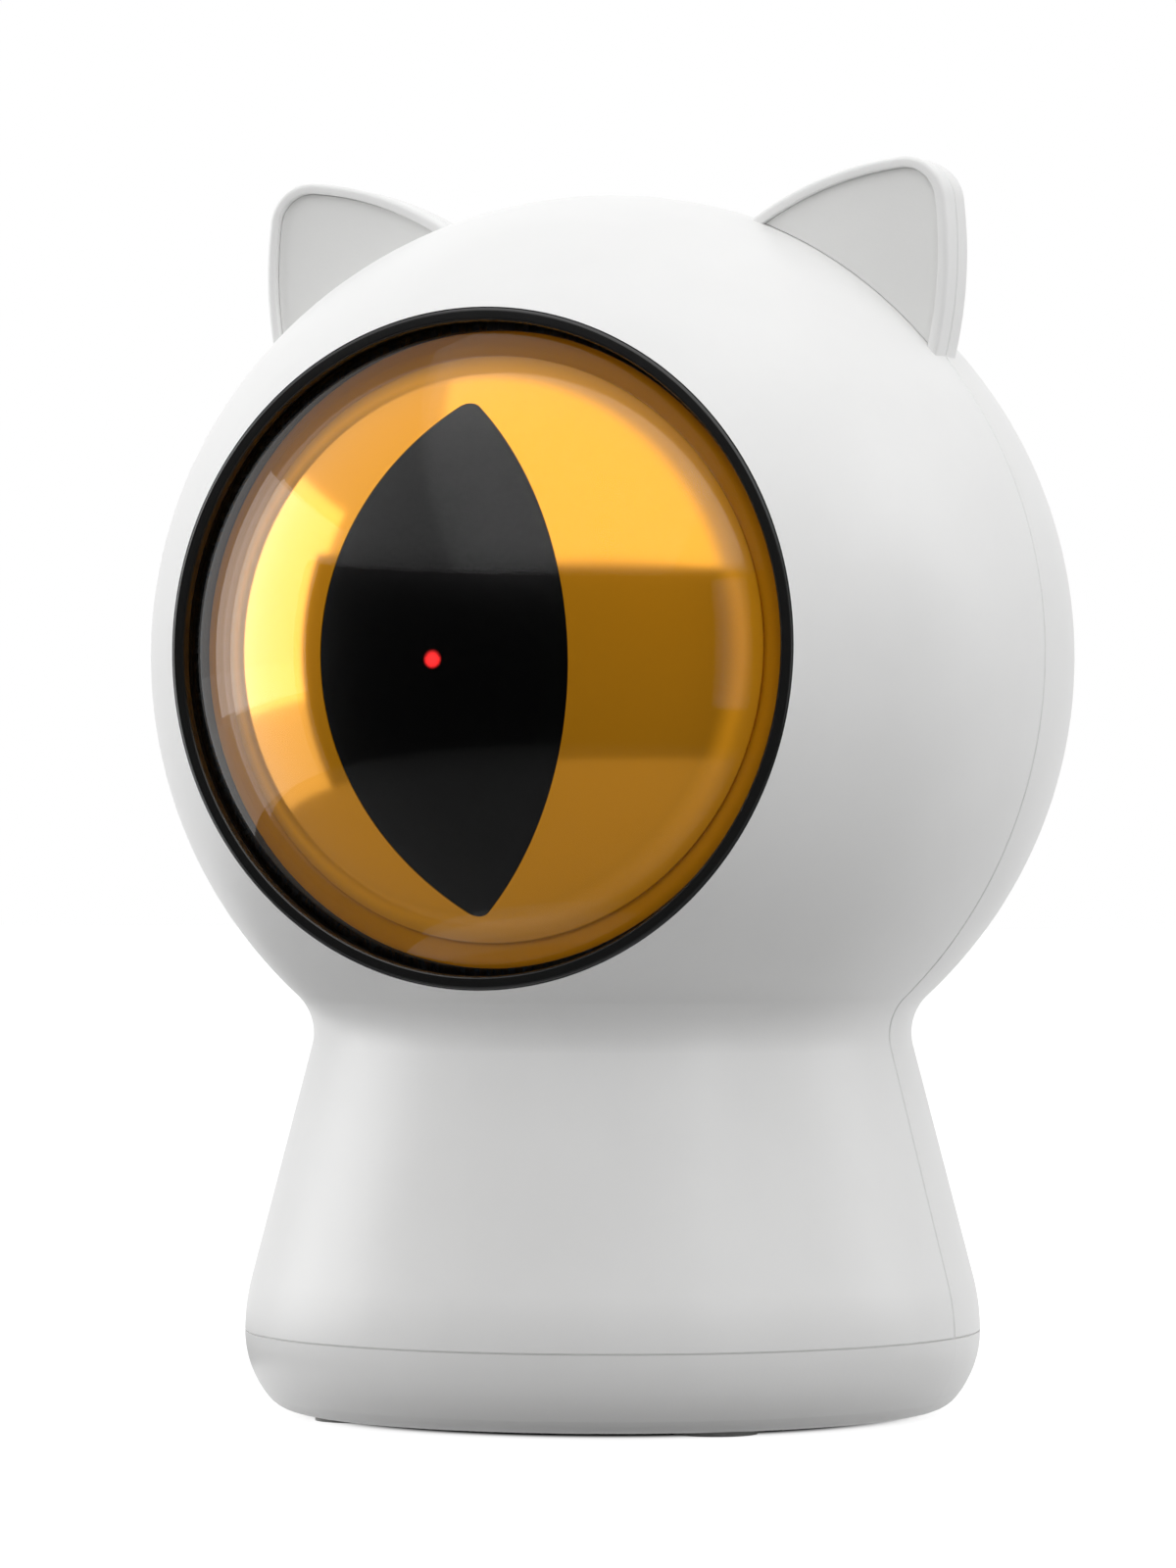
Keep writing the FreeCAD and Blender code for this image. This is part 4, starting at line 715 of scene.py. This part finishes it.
def ear(side):
    """One ear: side is 1 for the one towards +X and -1 for the other."""
    outline = ear_outline()
    loops = []
    for inset, depth in ear_levels():
        loop = offset_loop(outline, inset) if inset else outline
        loops.append([(side * x, depth, z) for x, z in loop])
    return stack("ear", loops)


def swept_groove(name, path, half_width, depth):
    """Cutter with a diamond section along a path in the seam's plane."""
    loops = []
    for i, p in enumerate(path):
        before = path[max(0, i - 1)]
        after = path[min(len(path) - 1, i + 1)]
        along = Vector((after[0] - before[0], after[1] - before[1])).normalized()
        n = Vector((-along.y, along.x))
        loops.append([(p[0] + n.x * depth, SEAM_Y, p[1] + n.y * depth),
                      (p[0], SEAM_Y + half_width, p[1]),
                      (p[0] - n.x * depth, SEAM_Y, p[1] - n.y * depth),
                      (p[0], SEAM_Y - half_width, p[1])])
    return stack(name, loops)


def seam_grooves():
    """Grooves along the seam: over the head, round each ear and down each side."""
    outline = ear_outline()
    reach = [p for p in outline if math.hypot(p[0], p[1] - HEAD_Z) > HEAD_R - SEAM_EDGE]
    inner = math.degrees(math.atan2(reach[0][1] - HEAD_Z, reach[0][0]))
    outer = math.degrees(math.atan2(reach[-1][1] - HEAD_Z, reach[-1][0]))
    flat = math.sqrt(HEAD_R ** 2 - SEAM_Y ** 2)
    crown = arc_points(0, HEAD_Z, flat, inner - GROOVE_PAST, 180 - inner + GROOVE_PAST)
    cut = body_profile(0, BASE_SEAM_Z)[:-1]
    side = [(math.sqrt(max(0.0, r * r - SEAM_Y ** 2)), z) for r, z in cut
            if math.degrees(math.atan2(z - HEAD_Z, r)) < outer + GROOVE_PAST]
    side.append((side[-1][0], BASE_SEAM_Z - PAST))
    paths = [crown]
    for sign in (-1, 1):
        paths.append([(sign * x, z) for x, z in reach])
        paths.append([(sign * x, z) for x, z in side])
    return [swept_groove("groove", path, SEAM_EDGE, SEAM_EDGE * GROOVE_DEEP) for path in paths]


def round_slot(name, grow, y0, y1):
    """Flat slot with round ends at the inlet."""
    half_h = INLET_H / 2 + grow
    half_w = INLET_W / 2 + grow - half_h
    outline = arc_points(half_w, INLET_Z, half_h, -90, 90) + arc_points(-half_w, INLET_Z, half_h, 90, 270)
    return stack(name, [[(x, y, z) for x, z in outline] for y in (y0, y1)])


def rod_y(name, radius, y0, y1, z, turns=96):
    """Round bar along Y."""
    loop = [(radius * math.cos(math.tau * i / turns), z + radius * math.sin(math.tau * i / turns))
            for i in range(turns)]
    return stack(name, [[(x, y, z) for x, z in loop] for y in (y0, y1)])


def casing():
    """Both shells: turned body with ears, hollowed, grooved along the seam and split."""
    whole = lathe("casing", body_profile(0, BASE_SEAM_Z, SEAM_EDGE), on_z)
    combine(whole, [ear(1), ear(-1)], "UNION")
    inside = lathe("inside", body_profile(WALL, BASE_SEAM_Z - PAST), on_z, TURNS // 2)
    combine(whole, [inside] + seam_grooves(), "DIFFERENCE")
    reach = 2 * HEAD_R
    top = HEAD_Z + reach
    rear = copy_of(whole, "rear")
    combine(rear, [block("half", -reach, reach, SEAM_Y, reach, -PAST, top)], "INTERSECT")
    combine(whole, [block("half", -reach, reach, -reach, SEAM_Y, -PAST, top)], "INTERSECT")
    bore = rod_y("bore", BEZEL_R + FIT, -reach, -HEAD_R / 2, HEAD_Z, TURNS)
    combine(whole, [bore], "DIFFERENCE")
    holes = [round_slot("slot", INLET_WALL, HEAD_R / 2, reach),
             rod_y("hole", LIGHT_R + FIT, HEAD_R / 2, reach, LIGHT_Z),
             rod_y("hole", BUTTON_R + BUTTON_GAP, HEAD_R / 2, reach, BUTTON_Z)]
    combine(rear, holes, "DIFFERENCE")
    for shell, name in ((whole, "front_shell"), (rear, "rear_shell")):
        smooth(shell, body_normal)
        finish_piece(shell, name + "_skin", MATERIALS["shell_white"], "root", [name])


casing()


# Eye
def ball_normal(centre_y, radius, polish_r=None):
    """Normals of a ball on the eye's axis, or of a flatter ball that is polished into it."""
    centre = Vector((0, centre_y, HEAD_Z))

    def normal_at(point):
        """Normal at a point of the ball, or None where the point isn't on it."""
        away = point - centre
        if abs(away.length - radius) > NEAR:
            return None
        if polish_r:
            side = Vector((away.x, 0, away.z)) / polish_r
            return Vector((side.x, -math.sqrt(max(0.0, 1 - side.length_squared)), side.z))
        return away.normalized()
    return normal_at


def ball_profile(radius, centre_y, end_r):
    """Arc of a ball from the eye's axis out to the distance end_r."""
    end = math.degrees(math.asin(end_r / radius))
    count = max(4, int(end / ARC_STEP))
    points = []
    for i in range(count + 1):
        a = math.radians(end * i / count)
        points.append((radius * math.sin(a), centre_y - radius * math.cos(a)))
    points[0] = (0, centre_y - radius)
    return points


def rounded_ring(r_in, r_out, front, edge, back):
    """Section of a ring with its two front edges rounded."""
    outer = arc_points(r_out - edge, front + edge, edge, 0, -90)
    inner = arc_points(r_in + edge, front + edge, edge, -90, -180)
    return [(r_out, back)] + outer + inner + [(r_in, back)]


def eye_bezel():
    """Black ring with its lip and the wall that reaches into the head."""
    lip_back = BEZEL_FACE_Y + BEZEL_LIP
    r_in = BEZEL_R - BEZEL_RING
    profile = rounded_ring(r_in, BEZEL_R, BEZEL_FACE_Y, BEZEL_EDGE_R, lip_back)
    profile[0] = (BEZEL_R, BEZEL_BACK_Y)
    profile += [(BEZEL_R - BEZEL_WALL, lip_back), (BEZEL_R - BEZEL_WALL, BEZEL_BACK_Y)]
    ring = smooth(lathe("bezel", profile, on_eye))
    finish_piece(ring, "eye_bezel_ring", MATERIALS["bezel_black"], "root", ["eye_bezel"])


def eye_dome():
    """Clear dome with its flange; its inner faces carry the print."""
    meet_r = math.sqrt(DOME_R ** 2 - (DOME_FLANGE_Y - DOME_CENTRE_Y) ** 2)
    inner_r = DOME_R - DOME_WALL
    inner_end = math.sqrt(inner_r ** 2 - (DOME_BACK_Y - DOME_CENTRE_Y) ** 2)
    profile = ball_profile(DOME_R, DOME_CENTRE_Y, meet_r)
    profile += [(STACK_R, DOME_FLANGE_Y), (STACK_R, DOME_BACK_Y)]
    profile += list(reversed(ball_profile(inner_r, DOME_CENTRE_Y, inner_end)))
    dome = smooth(lathe("dome", profile, on_eye))
    finish_piece(dome, "eye_dome_clear", MATERIALS["clear_dome"], "root", ["eye_dome"])
    dome.data.materials.append(dome_print_material())
    normal_at = ball_normal(DOME_CENTRE_Y, DOME_R)
    for face in dome.data.polygons:
        outside = all(normal_at(dome.data.vertices[v].co / MM) is not None for v in face.vertices)
        face.material_index = 0 if outside else 1


def slit_prism(grow):
    """Prism of the cat pupil: two long arcs that meet in small round ends."""
    end_r = PUPIL_END_R + grow
    reach = PUPIL_HALF_L - PUPIL_END_R
    long_r = (reach ** 2 + PUPIL_HALF_W ** 2 - PUPIL_END_R ** 2) / (2 * (PUPIL_HALF_W - PUPIL_END_R))
    centre_x = long_r - PUPIL_HALF_W
    turn = math.degrees(math.atan2(reach, centre_x))
    outline = arc_points(-centre_x, PUPIL_Z, long_r + grow, -turn, turn)
    outline += arc_points(0, PUPIL_Z + reach, end_r, turn, 180 - turn)[1:]
    outline += arc_points(centre_x, PUPIL_Z, long_r + grow, 180 - turn, 180 + turn)[1:]
    outline += arc_points(0, PUPIL_Z - reach, end_r, 180 + turn, 360 - turn)[1:-1]
    return stack("slit", [[(x, y, z) for x, z in outline] for y in (SLIT_FRONT_Y, SLIT_BACK_Y)])


def iris():
    """Amber ball cap with its flange and the slit."""
    inner_r = IRIS_R - IRIS_WALL
    flange_y = IRIS_BACK_Y - IRIS_FLANGE_T
    inner_end = math.sqrt(inner_r ** 2 - (IRIS_BACK_Y - IRIS_CENTRE_Y) ** 2)
    profile = ball_profile(IRIS_R, IRIS_CENTRE_Y, IRIS_EDGE_R)
    profile += [(IRIS_EDGE_R, flange_y), (STACK_R, flange_y), (STACK_R, IRIS_BACK_Y)]
    profile += list(reversed(ball_profile(inner_r, IRIS_CENTRE_Y, inner_end)))
    disc = lathe("iris", profile, on_eye)
    combine(disc, [slit_prism(0)], "DIFFERENCE")
    smooth(disc, ball_normal(IRIS_CENTRE_Y, IRIS_R, MIRROR_R))
    finish_piece(disc, "iris_gold", MATERIALS["gold_mirror"], "root", ["iris_reflector"])


def pupil():
    """Dark window that fills the slit."""
    outer_r = IRIS_R - FIT
    inner_r = IRIS_R - IRIS_WALL - PUPIL_THICKER
    end_r = PUPIL_HALF_L + PUPIL_CAP_PAST
    profile = ball_profile(outer_r, IRIS_CENTRE_Y, end_r)
    profile += list(reversed(ball_profile(inner_r, IRIS_CENTRE_Y, end_r - PUPIL_THICKER)))
    window = lathe("pupil", profile, on_eye)
    combine(window, [slit_prism(-FIT)], "INTERSECT")
    smooth(window, ball_normal(IRIS_CENTRE_Y, outer_r, MIRROR_R))
    finish_piece(window, "pupil_glass", MATERIALS["pupil_dark"], "root", ["pupil_window"])


def laser_spot():
    """Small glowing patch on the window where the beam comes out; it moves with the laser."""
    turns = 48
    rings = 6

    def aimed(x, z, depth):
        """Point of the window's ball as the laser sees it, at a depth behind its face."""
        y = -math.sqrt(SPOT_BALL_R ** 2 - x * x - z * z) + depth
        return (x, IRIS_CENTRE_Y + y * math.cos(SPOT_DROP) + z * math.sin(SPOT_DROP),
                HEAD_Z + y * math.sin(SPOT_DROP) + z * math.cos(SPOT_DROP))

    loops = []
    angles = [math.tau * j / turns for j in range(turns)]
    for depth in (0.0, SPOT_T):
        for i in range(1, rings + 1):
            k = i if depth == 0.0 else rings + 1 - i
            r = SPOT_R * k / rings
            loops.append([aimed(r * math.cos(a), r * math.sin(a), depth) for a in angles])
    patch = smooth(stack("spot", loops))
    finish_piece(patch, "laser_spot", spot_material(), "laser_head")


eye_bezel()
eye_dome()
iris()
pupil()
laser_spot()


# Studio: floor, world, lamps and camera
def is_seen(tree):
    """1 for rays from the camera and for those that a mirror or glass sends on, otherwise 0."""
    path = tree.nodes.new("ShaderNodeLightPath")
    total = path.outputs["Is Camera Ray"]
    for name in ("Is Glossy Ray", "Is Transmission Ray"):
        add = tree.nodes.new("ShaderNodeMath")
        add.operation = "MAXIMUM"
        tree.links.new(total, add.inputs[0])
        tree.links.new(path.outputs[name], add.inputs[1])
        total = add.outputs["Value"]
    return total


FLOOR_HALF = 4000.0
FLOOR_T = 20.0
FLOOR_TONE = 0.34
FLOOR_GLOW = 0.9          # added for what is seen, so that the floor is as pale as the backdrop
GLOW_START = BASE_R - 9   # the glow begins under the tray's edge; inside it the floor has no glow and shows dark: its real shadow, bounded by this fixed ring as a painted contact shadow
GLOW_FULL = BASE_R - 5


def floor():
    """Pale floor that keeps the shadow; under the tray its glow is left out by a fixed ring, partly a
    painted contact shadow.
    """
    plane = block("floor", -FLOOR_HALF, FLOOR_HALF, -FLOOR_HALF, FLOOR_HALF, -FLOOR_T, 0)
    material = new_material("floor", (FLOOR_TONE, FLOOR_TONE, FLOOR_TONE), 0.9, specular=0.1)
    tree = material.node_tree
    glow = tree.nodes.new("ShaderNodeEmission")
    level = tree.nodes.new("ShaderNodeMath")
    level.operation = "MULTIPLY"
    level.inputs[1].default_value = FLOOR_GLOW
    add = tree.nodes.new("ShaderNodeAddShader")
    place = tree.nodes.new("ShaderNodeTexCoord")
    away = tree.nodes.new("ShaderNodeVectorMath")
    away.operation = "LENGTH"
    clear = tree.nodes.new("ShaderNodeMath")
    clear.operation = "MULTIPLY"
    tree.links.new(place.outputs["Object"], away.inputs[0])
    reach = in_mm(tree, away.outputs["Value"])
    # no glow inside a fixed ring under the tray: partly a painted contact shadow
    tree.links.new(step_between(tree, reach, GLOW_START, GLOW_FULL), clear.inputs[0])
    tree.links.new(is_seen(tree), clear.inputs[1])
    tree.links.new(clear.outputs["Value"], level.inputs[0])
    tree.links.new(level.outputs["Value"], glow.inputs["Strength"])
    tree.links.new(tree.nodes["Principled BSDF"].outputs["BSDF"], add.inputs[0])
    tree.links.new(glow.outputs["Emission"], add.inputs[1])
    tree.links.new(add.outputs["Shader"], tree.nodes["Material Output"].inputs["Surface"])
    plane.data.materials.append(material)


TO_CAMERA = Vector((math.sin(math.radians(CAMERA_TURN)), -math.cos(math.radians(CAMERA_TURN)), 0))
TO_RIGHT = Vector((math.cos(math.radians(CAMERA_TURN)), math.sin(math.radians(CAMERA_TURN)), 0))
TABLE_R = 172.0           # distance to the dark card, which stands at the table's edge
SKY = 0.65                # light of the room from above and all round
DARK_SIDE = 0.03          # light of the room from low down on the photographer's side
SKY_LOW = (21.6, 20.4)    # degrees above the horizon at which that side begins and is dark
SKY_FRONT = (78, 62)      # the same in degrees from the photographer's direction


def world():
    """White surroundings, which give less light low down on the photographer's side."""
    world = bpy.data.worlds.new("studio")
    bpy.context.scene.world = world
    world.use_nodes = True
    tree = world.node_tree
    light = tree.nodes["Background"]
    place = tree.nodes.new("ShaderNodeTexCoord")
    split = tree.nodes.new("ShaderNodeSeparateXYZ")
    toward = tree.nodes.new("ShaderNodeVectorMath")
    toward.operation = "DOT_PRODUCT"
    toward.inputs[1].default_value = TO_CAMERA
    tree.links.new(place.outputs["Generated"], split.inputs["Vector"])
    tree.links.new(place.outputs["Generated"], toward.inputs[0])
    low = step_between(tree, split.outputs["Z"], *[math.sin(math.radians(a)) for a in SKY_LOW])
    front = step_between(tree, toward.outputs["Value"], *[math.cos(math.radians(a)) for a in SKY_FRONT])
    both = tree.nodes.new("ShaderNodeMath")
    both.operation = "MULTIPLY"
    tree.links.new(low, both.inputs[0])
    tree.links.new(front, both.inputs[1])
    level = tree.nodes.new("ShaderNodeMapRange")
    level.inputs["To Min"].default_value = SKY
    level.inputs["To Max"].default_value = DARK_SIDE
    tree.links.new(both.outputs["Value"], level.inputs["Value"])
    white = tree.nodes.new("ShaderNodeMix")
    white.data_type = "FLOAT"
    white.inputs["B"].default_value = 1.0
    tree.links.new(is_seen(tree), white.inputs["Factor"])
    tree.links.new(level.outputs["Result"], white.inputs["A"])
    tree.links.new(white.outputs["Result"], light.inputs["Strength"])
    light.inputs["Color"].default_value = (1, 1, 1, 1)


def around(turn, away, height):
    """Place at an angle from the eye's axis towards +X, a distance from the middle and a height."""
    a = math.radians(turn)
    return (away * math.sin(a), -away * math.cos(a), height)


def softbox(name, place, target, width, height, level):
    """Rectangular lamp; level is how bright its face is, with 1 as white."""
    lamp = bpy.data.lights.new(name, "AREA")
    lamp.shape = "RECTANGLE"
    lamp.size = width * MM
    lamp.size_y = height * MM
    lamp.energy = level * math.pi * lamp.size * lamp.size_y
    obj = bpy.data.objects.new(name, lamp)
    obj.location = Vector(place) * MM
    obj.rotation_euler = (Vector(place) - Vector(target)).to_track_quat("Z", "Y").to_euler()
    obj.visible_camera = False
    bpy.context.scene.collection.objects.link(obj)


def card(name, tone, near, far, low, high, left, right):
    """Curved card seen only in reflections, between two angles from the eye's axis towards +X."""
    points = arc_points(0, 0, near, left - 90, right - 90) + arc_points(0, 0, far, right - 90, left - 90)
    obj = stack(name, [[(x, y, z) for x, y in points] for z in (low, high)])
    obj.data.materials.append(new_material(name, (tone, tone, tone), 0.9, specular=0.0))
    obj.visible_camera = False
    obj.visible_diffuse = False
    obj.visible_shadow = False
    obj.visible_transmission = False


def camera():
    """The photograph's point of view."""
    data = bpy.data.cameras.new("camera")
    data.lens = CAMERA_LENS
    data.sensor_width = CAMERA_SENSOR
    data.sensor_fit = "AUTO"
    data.clip_start = CAMERA_CLIP * MM
    obj = bpy.data.objects.new("camera", data)
    place = TO_CAMERA * CAMERA_FAR + TO_RIGHT * CAMERA_ASIDE + Vector((0, 0, CAMERA_UP))
    tilt = math.radians(CAMERA_TILT)
    forward = -TO_CAMERA * math.cos(tilt) - Vector((0, 0, 1)) * math.sin(tilt)
    obj.location = place * MM
    obj.rotation_euler = (-forward).to_track_quat("Z", "Y").to_euler()
    bpy.context.scene.collection.objects.link(obj)
    bpy.context.scene.camera = obj


floor()
world()
card("dark_card", tone=0.01, near=TABLE_R, far=TABLE_R + 2,
     low=0.5, high=HEAD_Z + 56, left=-55, right=104)
card("grey_mat", tone=0.26, near=48.0, far=TABLE_R,
     low=0.3, high=0.5, left=-130, right=104)
softbox("left_box", around(turn=-79, away=570, height=188), (0, 0, 188),
        width=440, height=376, level=2.1)
softbox("right_strip", around(turn=57, away=160, height=78), (0, 0, 78),
        width=22, height=85, level=2.6)
softbox("right_box", around(turn=108, away=600, height=300), HEAD,
        width=400, height=420, level=1.4)
softbox("top_box", around(turn=15, away=300, height=640), HEAD,
        width=900, height=1100, level=0.93)
camera()
bpy.context.scene.view_settings.view_transform = "Standard"
